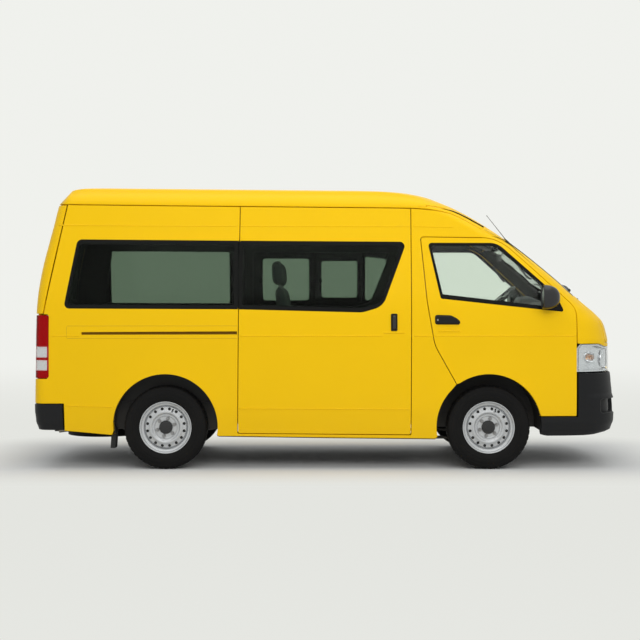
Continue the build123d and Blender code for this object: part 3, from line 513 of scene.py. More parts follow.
def joinRows(bm, rows, around=True, material=0):
    # faces between rows of as many points, all the way round or as an open strip
    n = len(rows[0])
    for a, b in zip(rows, rows[1:]):
        for k in range(n if around else n - 1):
            j = (k + 1) % n
            bm.faces.new((a[k], a[j], b[j], b[k])).material_index = material


def stub(bm, radius1, radius2, depth, where, axis, segments=20):
    # a short cone, turned a quarter about an axis
    sizes = {"segments": segments, "radius1": radius1, "radius2": radius2, "depth": depth}
    made = bmesh.ops.create_cone(bm, cap_ends=True, **sizes)["verts"]
    bmesh.ops.rotate(bm, verts=made, matrix=Matrix.Rotation(pi / 2, 3, axis))
    bmesh.ops.translate(bm, verts=made, vec=where)


def box(u0, v0, u1, v1, radius):
    # the corners of a level rectangle
    return [(u0, v0, radius), (u1, v0, radius), (u1, v1, radius), (u0, v1, radius)]


def dressNode(name, material):
    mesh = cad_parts[name].data
    mesh.materials.clear()
    mesh.materials.append(material)


def wire(tree, a, out, b, into):
    tree.links.new(a.outputs[out], b.inputs[into])


def added(tree, *kinds):
    return [tree.nodes.new("ShaderNode" + kind) for kind in kinds]


def fill(node, values):
    for label, value in values.items():
        node.inputs[label].default_value = value
    return node


def calc(tree, operation, *values):
    # a Math node; each value is a number, or a node with its output
    node = tree.nodes.new("ShaderNodeMath")
    node.operation = operation
    for k, value in enumerate(values):
        if isinstance(value, tuple):
            wire(tree, *value, node, k)
        else:
            node.inputs[k].default_value = value
    return node


def texture(tree, kind, values):
    # a texture that sits still on the object
    node = fill(tree.nodes.new("ShaderNodeTex" + kind), values)
    wire(tree, tree.nodes.new("ShaderNodeTexCoord"), "Object", node, "Vector")
    return node


def mixed(tree, share, a, b):
    # one colour towards another; each is a colour, or a node with its output
    node = tree.nodes.new("ShaderNodeMix")
    node.data_type = "RGBA"
    wire(tree, *share, node, "Factor")
    for socket, value in ((6, a), (7, b)):
        if len(value) == 2:
            wire(tree, *value, node, socket)
        else:
            node.inputs[socket].default_value = value
    return node


def grainGroup():
    # moulded or pressed surface: fine grain over a slow wave
    inputs = [("Scale", "Float", 400.0), ("Depth", "Float", 0.3), ("Wave", "Float", 0.1)]
    g, i, o = nodeGroup("surfaceGrain", inputs, [("Height", "Float"), ("Tone", "Float")])
    fine, slow = texture(g, "Noise", {"Detail": 3}), texture(g, "Noise", {"Scale": 9})
    wire(g, i, "Scale", fine, "Scale")
    deep = calc(g, "MULTIPLY", (fine, "Fac"), (i, "Depth"))
    wave = calc(g, "MULTIPLY", (slow, "Fac"), (i, "Wave"))
    wire(g, calc(g, "ADD", (deep, 0), (wave, 0)), 0, o, "Height")
    wire(g, slow, "Fac", o, "Tone")
    return g


def dustGroup():
    # road dust that thickens towards the ground, in patches
    white, brown = (1, 1, 1, 1), (.3, .27, .23, 1)
    inputs = [("Colour", "Color", white), ("Dust", "Color", brown), ("Amount", "Float", .3),
              ("Top", "Float", .9), ("Roughness", "Float", .3)]
    g, i, o = nodeGroup("roadDust", inputs, [("Colour", "Color"), ("Roughness", "Float")])
    where, split, fall = added(g, "TexCoord", "SeparateXYZ", "MapRange")
    fill(fall, {"To Min": 1, "To Max": 0, "From Min": .02})
    patch = texture(g, "Noise", {"Scale": 7, "Detail": 6})
    wire(g, where, "Object", split, 0)
    wire(g, split, "Z", fall, "Value")
    wire(g, i, "Top", fall, "From Max")
    byPatch = calc(g, "MULTIPLY", (fall, "Result"), (patch, "Fac"))
    byAmount = calc(g, "MULTIPLY", (byPatch, 0), (i, "Amount"))
    wire(g, mixed(g, (byAmount, 0), (i, "Colour"), (i, "Dust")), 2, o, "Colour")
    wire(g, calc(g, "MULTIPLY_ADD", (byAmount, 0), .5, (i, "Roughness")), 0, o, "Roughness")
    return g


def driftGroup():
    # small drift of one colour towards another
    white = (1, 1, 1, 1)
    inputs = [("Colour", "Color", white), ("Other", "Color", white), ("Scale", "Float", 3.0),
              ("Share", "Float", .5)]
    g, i, o = nodeGroup("toneDrift", inputs, [("Colour", "Color")])
    noise = texture(g, "Noise", {"Detail": 4})
    wire(g, i, "Scale", noise, "Scale")
    times = calc(g, "MULTIPLY", (noise, "Fac"), (i, "Share"))
    wire(g, mixed(g, (times, 0), (i, "Colour"), (i, "Other")), 2, o, "Colour")
    return g


def weaveGroup():
    # cloth: two crossed threads
    inputs = [("Thread", "Float", 900.0), ("Depth", "Float", .5)]
    g, i, o = nodeGroup("seatWeave", inputs, [("Height", "Float"), ("Mask", "Float")])
    along, across = (texture(g, "Wave", {"Distortion": 1.2, "Detail": 1}) for _ in range(2))
    along.bands_direction, across.bands_direction = "X", "Z"
    for thread in (along, across):
        wire(g, i, "Thread", thread, "Scale")
    crossed = calc(g, "MULTIPLY", (along, "Fac"), (across, "Fac"))
    wire(g, calc(g, "MULTIPLY", (crossed, 0), (i, "Depth")), 0, o, "Height")
    wire(g, texture(g, "Noise", {"Scale": 240}), "Fac", o, "Mask")
    return g


def placed(tree, group, values):
    node = tree.nodes.new("ShaderNodeGroup")
    node.node_tree = group
    return fill(node, values)


grain, dust, drift, weave = grainGroup(), dustGroup(), driftGroup(), weaveGroup()


def newMaterial(name):
    mat = bpy.data.materials.new(name)
    mat.use_nodes = True
    return mat, mat.node_tree, mat.node_tree.nodes["Principled BSDF"], mat.node_tree.nodes["Material Output"]


def finish(name, colour, rough, other=None, metal=0.0, coat=0.0, coatRough=.04, grainScale=400.0,
           grainDepth=.3, waveDepth=.1, bump=.05, dustAmount=0.0, dustTop=.9, specular=.5, sheen=0.0,
           cloth=False, share=.5, driftScale=3.0):
    # an opaque surface: tone, dust where it has any, and its grain or weave
    mat, tree, shader, _ = newMaterial(name)
    fill(shader, {"Metallic": metal, "Roughness": rough, "Coat Weight": coat, "Coat Roughness": coatRough,
                  "Specular IOR Level": specular, "Sheen Weight": sheen})
    other = other or [c * .82 for c in colour]
    last = placed(tree, drift, {"Colour": (*colour, 1), "Other": (*other, 1), "Scale": driftScale,
                                "Share": share})
    if dustAmount:
        film = placed(tree, dust, {"Amount": dustAmount, "Top": dustTop, "Roughness": rough})
        wire(tree, last, "Colour", film, "Colour")
        wire(tree, film, "Roughness", shader, "Roughness")
        last = film
    wire(tree, last, "Colour", shader, "Base Color")
    if cloth:
        relief = placed(tree, weave, {"Thread": grainScale, "Depth": grainDepth})
    else:
        relief = placed(tree, grain, {"Scale": grainScale, "Depth": grainDepth, "Wave": waveDepth})
    bumpNode = fill(tree.nodes.new("ShaderNodeBump"), {"Strength": bump, "Distance": .002})
    wire(tree, relief, "Height", bumpNode, "Height")
    wire(tree, bumpNode, "Normal", shader, "Normal")
    return mat


def pane(name, tint, rough=.0, ior=1.5):
    # lamps shine straight through, so that the cabin is lit
    mat, tree, shader, out = newMaterial(name)
    fill(shader, {"Base Color": (*tint, 1), "Transmission Weight": 1, "Roughness": rough, "IOR": ior,
                  "Specular IOR Level": .12})
    clear, mix, path = added(tree, "BsdfTransparent", "MixShader", "LightPath")
    fill(clear, {"Color": (*[sqrt(c) for c in tint], 1)})
    wire(tree, path, "Is Shadow Ray", mix, 0)
    wire(tree, shader, 0, mix, 1)
    wire(tree, clear, 0, mix, 2)
    wire(tree, mix, 0, out, "Surface")
    return mat


bodyYellow = finish("bodyYellow", (.86, .525, .0008), .42, other=(.835, .50, .0006), coat=.10, coatRough=.10,
                    grainScale=900, grainDepth=.22, waveDepth=.5, bump=.012, dustAmount=.03, dustTop=.6,
                    specular=.12)
# body yellow darkened to a deep brown: painted shade for the rail in its slot
slotShadePaint = finish("slotShadePaint", (.16, .085, .002), .55, grainScale=900, grainDepth=.3, bump=.05, specular=.2)
bodyShade = finish("bodyShade", (.60, .345, .0008), .42, coat=.2, grainScale=900, grainDepth=.2, bump=.02,
                   specular=.25)
trimGrey = finish("trimGrey", (.022, .0225, .022), .75, grainScale=1400, grainDepth=.6, bump=.25)
headlining = finish("headlining", (.12, .117, .11), .85, grainScale=1200, grainDepth=.7, bump=.2, sheen=.2)
bandBlack = finish("bandBlack", (.0035, .004, .0035), .10, grainScale=700, grainDepth=.1, bump=.004,
                   specular=.16)
blackPlastic = finish("blackPlastic", (.009, .0095, .0105), .48, grainScale=1500, grainDepth=.8,
                      waveDepth=.3, bump=.2, dustAmount=.02, dustTop=.5, specular=.2)
glossBlack = finish("glossBlack", (.012, .012, .013), .22, grainScale=900, grainDepth=.3, bump=.05)
tyreRubber = finish("tyreRubber", (.0035, .0036, .004), .66, grainScale=1100, grainDepth=.8, bump=.3,
                    dustAmount=.02, dustTop=.7, specular=.14)
wheelSilver = finish("wheelSilver", (.56, .575, .59), .34, metal=.55, coat=.3, grainScale=1300,
                     grainDepth=.4, bump=.05, dustAmount=.10, dustTop=.7)
bareSteel = finish("bareSteel", (.36, .36, .37), .32, metal=1, grainScale=900, grainDepth=.5, bump=.08,
                   dustAmount=.2)
chassisBlack = finish("chassisBlack", (.02, .02, .02), .55, grainScale=500, grainDepth=.8, bump=.3,
                      dustAmount=.4, dustTop=.6)
castMetal = finish("castMetal", (.15, .145, .14), .55, metal=.8, grainScale=700, grainDepth=1, bump=.4,
                   dustAmount=.4, dustTop=.8)
exhaustSteel = finish("exhaustSteel", (.30, .28, .25), .42, metal=.9, other=(.2, .15, .11), grainScale=600,
                      bump=.15, dustAmount=.3, dustTop=.6)
dashPlastic = finish("dashPlastic", (.055, .056, .06), .55, grainScale=1300, grainDepth=.9, bump=.3)
seatCloth = finish("seatCloth", (.052, .055, .062), .9, other=(.035, .037, .045), cloth=True, grainScale=620,
                   grainDepth=.7, bump=.5, sheen=.35, driftScale=60)
seatSide = finish("seatSide", (.03, .031, .034), .78, grainScale=1500, grainDepth=.7, bump=.2, sheen=.15)
rubberSeal = finish("rubberSeal", (.010, .010, .010), .6, grainScale=900, grainDepth=.4, bump=.1)
mirrorGlass = finish("mirrorGlass", (.75, .77, .78), .02, metal=1, other=(.74, .76, .77), grainDepth=.05,
                     waveDepth=.02, bump=.002)
chromeTrim = finish("chromeTrim", (.72, .72, .73), .10, metal=1, grainScale=1200, grainDepth=.1, bump=.01)
lampBowl = finish("lampBowl", (.70, .71, .72), .24, metal=.9, grainScale=900, grainDepth=.1, bump=.02)
floorMat = finish("floorMat", (.05, .05, .052), .75, grainScale=900, grainDepth=1, bump=.4)
privacyGlass = pane("privacyGlass", (.318, .388, .319), ior=1.16)
clearGlass = pane("clearGlass", (.82, .88, .818), ior=1.2)
lampClear = pane("lampClear", (.93, .95, .96))
lampAmber = pane("lampAmber", (.85, .30, .03), rough=.1)
plateWhite = finish("plateWhite", (.74, .745, .73), .35, grainScale=600, grainDepth=.2, bump=.03,
                    dustAmount=.15, dustTop=.9)
lampRed = pane("lampRed", (.50, .006, .008), rough=.04, ior=1.12)


studio = {
    "eye": (-.0565, -10.85, 1.35), "lens": 71.0, "shiftY": -20.5 / 640,
    "floor": (.66, .665, .65), "far": (.775, .783, .745), "wall": (.87, .88, .845),
    "paper": {"X": 2.35, "Y": .72}, "fade": (.0, 1.1), "horizon": (1.5, 16), "world": .58,
    "sky": (.97, .985, 1),
}
scene = bpy.context.scene
scene.view_settings.view_transform = "Standard"
eye = bpy.data.cameras.new("camera")
eye.lens, eye.sensor_width, eye.sensor_fit = studio["lens"], 36, "HORIZONTAL"
eye.shift_y = studio["shiftY"]
eye.clip_end = 200
camera = linked("camera", eye)
camera.location = studio["eye"]
camera.rotation_euler = (pi / 2, 0, 0)
scene.camera = camera


def backdrop():
    # a floor wide enough to meet the backdrop's colour on every side
    bm = bmesh.new()
    bmesh.ops.create_grid(bm, x_segments=24, y_segments=24, size=60)
    mesh = meshOf(bm, "studioFloor")
    linked("studioFloor", mesh)
    mesh.materials.append(studioPaper())


def seenStraight(t):
    # one for what the camera, a mirror or a pane looks at, nought for light falling on things
    path = t.nodes.new("ShaderNodeLightPath")
    camera = calc(t, "MAXIMUM", (path, "Is Camera Ray"), (path, "Is Transmission Ray"))
    return calc(t, "MAXIMUM", (camera, 0), (path, "Is Glossy Ray"))


def ramp(t, value, ends):
    node = fill(t.nodes.new("ShaderNodeMapRange"), {"From Min": ends[0], "From Max": ends[1]})
    node.interpolation_type = "SMOOTHSTEP"
    wire(t, *value, node, "Value")
    return node


def studioPaper():
    # lit paper round the vehicle; further off the camera sees its plain colour
    mat, t, lit, out = newMaterial("studioPaper")
    fill(lit, {"Base Color": (*studio["floor"], 1), "Roughness": .8, "Specular IOR Level": .2})
    where, split, shine, mix = added(t, "NewGeometry", "SeparateXYZ", "Emission", "MixShader")
    wire(t, where, "Position", split, 0)
    squares = []
    for axis, half in studio["paper"].items():
        over = calc(t, "SUBTRACT", (calc(t, "ABSOLUTE", (split, axis)), 0), half)
        squares.append((calc(t, "POWER", (calc(t, "MAXIMUM", (over, 0), 0), 0), 2), 0))
    away = calc(t, "SQRT", (calc(t, "ADD", *squares), 0))
    fade, rise = ramp(t, (away, 0), studio["fade"]), ramp(t, (away, 0), studio["horizon"])
    wire(t, mixed(t, (rise, "Result"), (*studio["far"], 1), (*studio["wall"], 1)), 2, shine, "Color")
    wire(t, calc(t, "MULTIPLY", (fade, "Result"), (seenStraight(t), 0)), 0, mix, 0)
    wire(t, lit, 0, mix, 1)
    wire(t, shine, 0, mix, 2)
    wire(t, mix, 0, out, "Surface")
    return mat


backdrop()
world = bpy.data.worlds.new("studio")
scene.world = world
world.use_nodes = True
sky = world.node_tree
light = fill(sky.nodes["Background"], {"Color": (*studio["sky"], 1), "Strength": studio["world"]})
view = fill(sky.nodes.new("ShaderNodeBackground"), {"Color": (*studio["wall"], 1)})
both = sky.nodes.new("ShaderNodeMixShader")
wire(sky, seenStraight(sky), 0, both, 0)
wire(sky, light, 0, both, 1)
wire(sky, view, 0, both, 2)
wire(sky, both, 0, sky.nodes["World Output"], "Surface")


def softLight(name, where, target, size, power, mirrored=True):
    lamp = bpy.data.lights.new(name, "AREA")
    lamp.shape, lamp.size, lamp.size_y, lamp.energy = "RECTANGLE", size[0], size[1], power
    o = linked(name, lamp)
    o.location = where
    o.rotation_euler = (Vector(target) - Vector(where)).to_track_quat("-Z", "Y").to_euler()
    o.visible_glossy = mirrored      # a lamp that isn't mirrored leaves the windows clear


softLight("overhead", (0, -1.5, 6.5), (0, -.3, 0), (9, 6), 185)
softLight("front", (1.5, -8.5, 5.2), (0, 0, 1.2), (9, 3.5), 330, False)
softLight("behind", (-1.5, 8.5, 5.2), (0, 0, 1.2), (9, 3.5), 150, False)
print("studio ready")


sideCut = {"gap": 2.6, "gutterGap": 3.0, "roll": 4.0, "grid": 26.0}
roofLine = [(-2096, 2113), (-1400, 2104.5), (-699, 2097.5), (0, 2091), (546, 2085.5), (680, 2082.5),
            (740, 2079.8), (802, 2075), (866, 2068), (930, 2058),
            (1000, 2040), (1058, 2015), (1120, 1983), (1186, 1945), (1250, 1909), (1310, 1874), (1435, 1808)]
slideX = (-705, 673)
slideLow = (284, 271)
doorCorners = [(747, 1852, 25), (795, 1330, 1500), (855, 985, 300), (1040, 655, 60), (1400, 422, 0),
               (1983, 422, 12), (1983, 1282, 150), (1376, 1843, 350)]


def roofZ(x):
    # the height of the gutter line
    return float(np.interp(x, [p[0] for p in roofLine], [p[1] for p in roofLine]))


def gutterShare(x):
    # the gutter's gap, seen from the side, closes where the roof leans over towards the windscreen
    return 1 - .82 * float(smoothStep((x - 900) / 300))


def along(x0, x1, step=60.0, dz=0.0):
    # the stretch of the gutter line between two x, either way
    xs = np.linspace(x0, x1, max(2, int(abs(x1 - x0) / step) + 1))
    return [(float(x), roofZ(x) + dz * gutterShare(x), 0) for x in xs]


def archPath(axle, zBack, zFront):
    # round a wheel opening from its rear foot to its front foot
    r, low = van["archRadius"], van["archZ"]
    turn = np.linspace(pi - np.arcsin((zBack - low) / r), np.arcsin((zFront - low) / r), 46)
    return [(axle + r * cos(a), low + r * sin(a), 0) for a in turn]


def doorEdge(grow):
    q, _ = outline(doorCorners, 12)
    if areaOf(q) < 0:
        q = q[::-1]
    return shifted(q, unjoined(q), -grow)


g, gg = sideCut["gap"], sideCut["gutterGap"]
doorAround = doorEdge(g)


def doorPart(fromPoint, toPoint):
    # the stretch of the door's edge between the points nearest to two others, the shorter way
    q = doorAround
    i = int(np.argmin(np.linalg.norm(q - np.array(fromPoint), axis=1)))
    j = int(np.argmin(np.linalg.norm(q - np.array(toPoint), axis=1)))
    n = len(q)
    f = [(i + k) % n for k in range((j - i) % n + 1)]
    b = [(i - k) % n for k in range((i - j) % n + 1)]
    return [(float(q[k][0]), float(q[k][1]), 0) for k in (f if len(f) < len(b) else b)]


quarterGlass = [(-709, 1815, 5), (-1991, 1826, 40), (-2086, 1283, 34), (-709, 1277, 5)]
slideGlass = [(-701, 1815, 5), (-701, 1277, 5), (280, 1252, 200), (440, 1300, 130), (629, 1807, 34)]


def sideLoop(slidingDoor):
    # the fixed side, run round from its top rear corner: down the tail, along the sill, up the door opening
    c = [(-2082, 2110, 0), (-2249, 1236, 0), (-2249, 1232, 0), (-2208, 1232, 27), (-2208, 719, 27),
         (-2318, 719, 0), (-2330, 524, 0), (-2089, 524, 3), (-2087, 306, 4), (-1712, 272, 8)]
    c += archPath(back, 300, 270)
    c += [(-860, 264, 8), (-705, 262, 0), (0, 252, 0), (673, 245, 0), (862, 243, 6)]
    front = archPath(cab, 262, 755)
    meet = min(range(len(front)), key=lambda k: abs(front[k][0] - 1003))
    c += front[:meet]
    c += doorPart((1004, 664), (747, 1852))
    c += doorPart((747, 1852), (1250, 1848))[1:]
    c[-1] = (1250, c[-1][1], 0, 1)
    c += along(1250, slideX[1] + 8, 60, -gg)
    if slidingDoor:
        c += [(slideX[1] + g, roofZ(680) - gg, 0), (slideX[1] - 6 + g, slideLow[1] - g, 12),
              (slideX[0] - 6 - g, slideLow[0] - g, 12),
              (slideX[0] + 8 - g, roofZ(-700) - gg, 0)]
    c += along(slideX[0] - 30 if slidingDoor else slideX[1] - 40, -2082, 110, -gg)[:-1]
    return c


def sheetsFor(loop, windows, marks=(), slots=(), grid=sideCut["grid"]):
    # outer skin, and the trimmed inner face behind it; a window gives its corners, clearance and reveal
    wall = van["wall"]
    holes = [outline(grownCorners(w, gap), 12) for w, gap, _ in windows]
    holes += [outline(slot, 12) for slot in slots]
    marks = [*marks, *[seal(w) for w, _, _ in windows]]
    outer = skin(outline(loop, 16), sideWay(-1), holes, grid=grid, roll=sideCut["roll"], depth=wall,
                 marks=marks)
    holes = [outline(grownCorners(w, reveal), 20) for w, _, reveal in windows]
    inner = skin(outline(loop, 26), sideWay(-1), holes, inset=wall, grid=grid * 2.4, roll=6, depth=wall - 12,
                 inward=True)
    return [outer, withMaterial(inner, 1)]


def grownCorners(corners, amount):
    # each corner moved out along its bisector, its radius grown to match
    q = np.array([c[:2] for c in corners], float)
    sign = 1 if areaOf(q) > 0 else -1
    moved = shifted(q, unjoined(q), -amount * sign)
    return [(*m, max((c[2] if len(c) > 2 else 0) + amount, 2)) for m, c in zip(moved, corners)]


def seal(corners, wide=4.0):
    # the black rubber round a window, with its reveal
    return outline(grownCorners(corners, wide), 12)[0], 2


railSlot = [(-1948, 1091, 3), (-715, 1097, 3), (-715, 1073, 3), (-1948, 1070, 3)]
windowJoint = [([(-724, 1279), (-684, 1279), (-684, 1813), (-724, 1813)], 2)]
quarterWindow, slideWindow = (quarterGlass, 1.2, -34), (slideGlass, 1.2, -30)
sheetLook = [bodyYellow, trimGrey, bandBlack]
rightSheets = sheetsFor(sideLoop(True), [quarterWindow], windowJoint, [railSlot])
sheetPiece("rightSide", rightSheets, sheetLook, "body", ["right_side"], "body_paint")
leftSheets = sheetsFor(sideLoop(False), [quarterWindow, slideWindow], windowJoint)
sheetPiece("leftSide", [flipped(s) for s in leftSheets], sheetLook, "body", ["left_side"], "body_paint")

slideLoop = [(slideX[1] - 6 - g, slideLow[1] + g + 2, 12), (slideX[1] - g, roofZ(670) - gg, 0)]
slideLoop += along(slideX[1] - 60, slideX[0] + 60, 110, -gg)
slideLoop += [(slideX[0] + 8 + g, roofZ(-700) - gg, 0), (slideX[0] - 6 + g, slideLow[0] + g, 12)]
slideSheets = sheetsFor(slideLoop, [slideWindow], windowJoint)
sheetPiece("slidingDoor", slideSheets, sheetLook, "body", ["sliding_door"], "body_paint")

windowCorners = [(812, 1798, 20), (907, 1362, 12), (1875, 1257, 10), (1812, 1388, 80), (1360, 1797, 150)]
doorLoop = cornersOf(doorEdge(-g))


def doorWithArch():
    # the arch takes the door's lower rear corner
    q = np.array([p[:2] for p in doorLoop])
    r, low = van["archRadius"], van["archZ"]
    keep = [i for i in range(len(q)) if hypot(q[i][0] - cab, q[i][1] - low) > r + 1]
    start = next(i for i in keep if (i - 1) % len(q) not in keep)
    body = [tuple(q[(start + k) % len(q)]) for k in range(len(keep))]
    a0, a1 = (atan2(body[k][1] - low, body[k][0] - cab) for k in (-1, 0))
    for k in range(1, 36):
        a = a0 + (a1 - a0) * k / 36
        body.append((cab + r * cos(a), low + r * sin(a)))
    return cornersOf(body)


doorSheets = sheetsFor(doorWithArch(), [(windowCorners, 1.5, -10)], grid=22)
sheetPair("Door", doorSheets, sheetLook, "{}_door", "{}_door", "body_paint")
print("sides ready")


def headerWay(q):
    # rays in the sloping plane of the windscreen header
    step = np.array([.8007, 0, .5990])
    return np.column_stack([0 * q[:, 0] + 1300, q[:, 0], 0 * q[:, 0] + 1708.6]), np.tile(step, (len(q), 1))


def spaced(points, step=40.0):
    # the same path with points no further apart than step
    out = []
    for a, b in zip(points, points[1:]):
        a, b = np.array(a[:2], float), np.array(b[:2], float)
        k = max(1, int(np.linalg.norm(b - a) / step + .5))
        out += [a + (b - a) * i / k for i in range(k)]
    return np.array(out + [np.array(points[-1][:2], float)])


frontPost, tailPost = (900, 1000, 1), (-1300, 1000, -1)
noseWrap = roundWay(*frontPost)
tailWrap = roundWay(*tailPost)


def onSide(points, step=40.0, form=bodyForm):
    return land(sideWay(-1), spaced(points, step), form)


def onFront(points, step=40.0):
    return land(frontWay(), spaced(points, step))


def onTail(points, step=40.0):
    return land(rearWay(), spaced(points, step))


gutterUp = [(x, z + gg * gutterShare(x)) for x, z in roofLine]
rightGutter = onSide(gutterUp, 30)
rearRow = land(tailWrap, np.column_stack([np.linspace(-.62, .62, 60) * 1000, np.full(60, 2113 + gg)]))
rearRow = rearRow[(rearRow[:, 0] < -2098)]
header = land(headerWay, np.column_stack([np.linspace(-640, 640, 44), np.zeros(44)]))
roofLoop = np.vstack([rightGutter[:, :2], header[:, :2], (rightGutter * (1, -1, 1))[::-1][:, :2],
                      rearRow[::-1][:, :2]])
roofEdge = (roofLoop, unjoined(roofLoop))
roofOut = skin(roofEdge, topWay(), grid=34, roll=1.1, depth=38, bands=(7, 15, 25, 38, 54, 74, 98))
roofIn = skin(roofEdge, topWay(), inset=38, grid=70, roll=5, depth=20, inward=True, bands=(20, 50, 90))
sheetPiece("roofSkin", [roofOut, withMaterial(roofIn, 1)], [bodyYellow, headlining], "body", ["roof"],
           "body_paint")
print("roof ready")


lid = {"half": 685, "rear": (1985, 2085)}


def lidRearX(y, moved=0.0):
    return lid["rear"][1] - (lid["rear"][1] - lid["rear"][0]) * (y / lid["half"]) ** 2 - moved


def lidArc(half, moved):
    ys = np.linspace(-half, half, 40)
    p = land(topWay(900), np.column_stack([[lidRearX(y, moved) for y in ys], ys]))
    return cornersOf(p[:, 1:], 0)


lidLoop = [(-684, 1005, 34), (684, 1005, 34)] + lidArc(684, 1)[::-1]
lidOut = skin(outline(lidLoop, 18), frontWay(), grid=24, roll=5, depth=40)
lidIn = skin(outline(lidLoop, 30), frontWay(), inset=38, grid=70, roll=6, depth=20, inward=True)
sheetPiece("bonnetLid", [lidOut, withMaterial(lidIn, 1)], [bodyYellow, chassisBlack], "bonnet_lid",
           ["bonnet_lid"], "body_paint")

cowlLoop = lidArc(682, 9) + lidArc(682, 48)[::-1]
cowlOut = skin(outline(cowlLoop, 18), frontWay(), grid=16, roll=3, depth=40, sink=3)
sheetPiece("cowlPanel", [cowlOut], [blackPlastic], "body", ["cowl"], "black_plastic")


def screenSide(z, grow=0.0):
    return -(700 - (z - 1340) * 64 / 540 + grow)


headerLow = header[:, 1:][1:-1]
topRow = [(float(y), float(z) - 3, 0) for y, z in headerLow if abs(y) < 630]
sideUp = [(screenSide(z), z, 0) for z in np.linspace(1425, 1800, 9)]
screenLoop = lidArc(676, 51) + [(-a, b, 0) for a, b, _ in sideUp] + topRow[::-1] + sideUp[::-1]
qScreen = outline(screenLoop, 20)
clearPart = [(-625, 1462, 40), (0, 1420, 900), (625, 1462, 40), (592, 1786, 50), (0, 1806, 900),
             (-592, 1786, 50)]
clearMark = [(outline(clearPart, 14)[0], 1)]
screenOut = skin(qScreen, frontWay(), grid=30, roll=1.6, depth=5, marks=clearMark)
screenIn = skin(qScreen, frontWay(), inset=5.2, grid=40, roll=1, depth=2, inward=True, marks=clearMark)
sheetPiece("windscreenPane", [screenOut, screenIn], [bandBlack, clearGlass], "body", ["windscreen"],
           "clear_glass")

lampTop = [(2176, 997), (2232, 975), (2300, 970)]


def wingLoop():
    # right half of the nose panel with the pillar, unrolled
    p = [onSide(doorPart((1250, 1848), (1986, 1000)), 30)]
    p.append(onSide([(1986, 1000), (2020, 997.5)], 20)[1:])
    p.append(onSide(lampTop, 24))
    p.append(onFront([(-560, 969), (-468, 968), (0, 968)], 40))
    down = len(np.vstack(p)) - 1
    p.append(onFront([(0, 1000), (-640, 1000)], 40))
    p.append(onFront([(-672, 1004), (-686, 1020), (-689, 1050), (-689, 1380)], 30))
    up = [(screenSide(z, 3), z) for z in np.linspace(1415, 1800, 14)]
    p.append(onFront(up, 40))
    p.append(land(headerWay, np.array([[-637.0, 0]])) + [[0, 0, -3]])
    back = [(x, roofZ(x) - gg * gutterShare(x)) for x in (1425, 1400, 1360, 1310, 1280, 1250)]
    p.append(onSide(back, 60))
    p = np.vstack(p)
    flags = unjoined(p)
    flags[[down, -1]] = True
    return unroll(p, *frontPost), flags


wingOut = skin(wingLoop(), noseWrap, grid=24, roll=4, depth=15)
wingTrim = withMaterial(skin(wingLoop(), noseWrap, inset=44, grid=60, roll=6, depth=30, inward=True), 1)
wings = [wingOut, flipped(wingOut), wingTrim, flipped(wingTrim)]
sheetPiece("frontPanel", wings, [bodyYellow, trimGrey], "body", ["front_panel"], "body_paint")
print("nose ready")


def bothSides(half):
    # a loop from the half of it on the right
    half = np.asarray(half)
    return np.vstack([half, (half * (-1, 1))[::-1]])


tailEdge = onSide([(-2093, 2107), (-2258, 1237)], 40)
tailHalf = np.vstack([unroll(tailEdge, *tailPost),
                      unroll(onTail([(-690, 1237), (-690, 529)], 50), *tailPost)])
gateLoop = cornersOf(bothSides(tailHalf))
tailGlassCorners = [(-640, 1312, 45), (640, 1312, 45), (590, 1815, 60), (-590, 1815, 60)]


def tailPath(corners, grow=0.0, step=14):
    q, _ = outline(grownCorners(corners, grow), step)
    return unroll(land(rearWay(), q), *tailPost), unjoined(q)


gateOut = skin(outline(gateLoop, 18), tailWrap, [tailPath(tailGlassCorners, 2.5)], grid=26, roll=4, depth=50)
gateHole = tailPath(tailGlassCorners, -34, 24)
gateIn = skin(outline(gateLoop, 30), tailWrap, [gateHole], inset=50, grid=60, roll=6, depth=40, inward=True)
gateSheets = [gateOut, withMaterial(gateIn, 1)]
sheetPiece("tailgateSkin", gateSheets, [bodyYellow, trimGrey], "tailgate", ["tailgate"], "body_paint")
gateMark = [(tailPath([(-600, 1350, 40), (600, 1350, 40), (556, 1775, 50), (-556, 1775, 50)])[0], 1)]
gateEdge = tailPath(tailGlassCorners)
gatePane = [skin(gateEdge, tailWrap, grid=34, roll=1.6, depth=5, marks=gateMark),
            skin(gateEdge, tailWrap, inset=5.2, grid=50, roll=1, depth=2, inward=True, marks=gateMark)]
sheetPiece("tailgatePane", gatePane, [bandBlack, privacyGlass], "tailgate", ["tailgate_glass"],
           "tinted_glass")


def tailPad(corners, high, roll, grid=26):
    return skin(tailPath(corners), tailWrap, grid=grid, roll=roll, depth=high + 4, sink=-high, steps=4)


# the corner between the quarter and the tailgate, under the lamp
cornerSide, cornerEnd = onSide([(-2319, 716), (-2329, 527)], 40), onTail([(-694, 527), (-694, 716)], 60)
cornerLoop = cornersOf(unroll(np.vstack([cornerSide, cornerEnd]), *tailPost), 0)
tailCorner = skin(outline(cornerLoop, 14), tailWrap, grid=18, roll=3, depth=30)
sheetPiece("tailCorners", [tailCorner, flipped(tailCorner)], [bodyYellow], "body")

# handle bar over the blank plate, with its two lamps
gateBar = [tailPad(box(-350, 1116, 350, 1178, 18), 15, 9), tailPad(box(-272, 956, 272, 1086, 10), 3.5, 2)]
sheetPiece("tailgateBar", gateBar, [blackPlastic], "tailgate")
sheetPiece("rearPlate", [tailPad(box(-258, 968, 258, 1074, 6), 5.5, 1.5)], [plateWhite], "tailgate")
plateLamps = [tailPad(box(y - 34, 1098, y + 34, 1112, 5), 9, 2) for y in (-140, 140)]
sheetPiece("plateLamps", plateLamps, [plateWhite], "tailgate")
gateRibs = [tailPad(box(-660, z - 4, 660, z + 4, 3), 3, 3.2) for z in (1236, 900)]
sheetPiece("tailgateRibs", gateRibs, [bodyYellow], "tailgate")


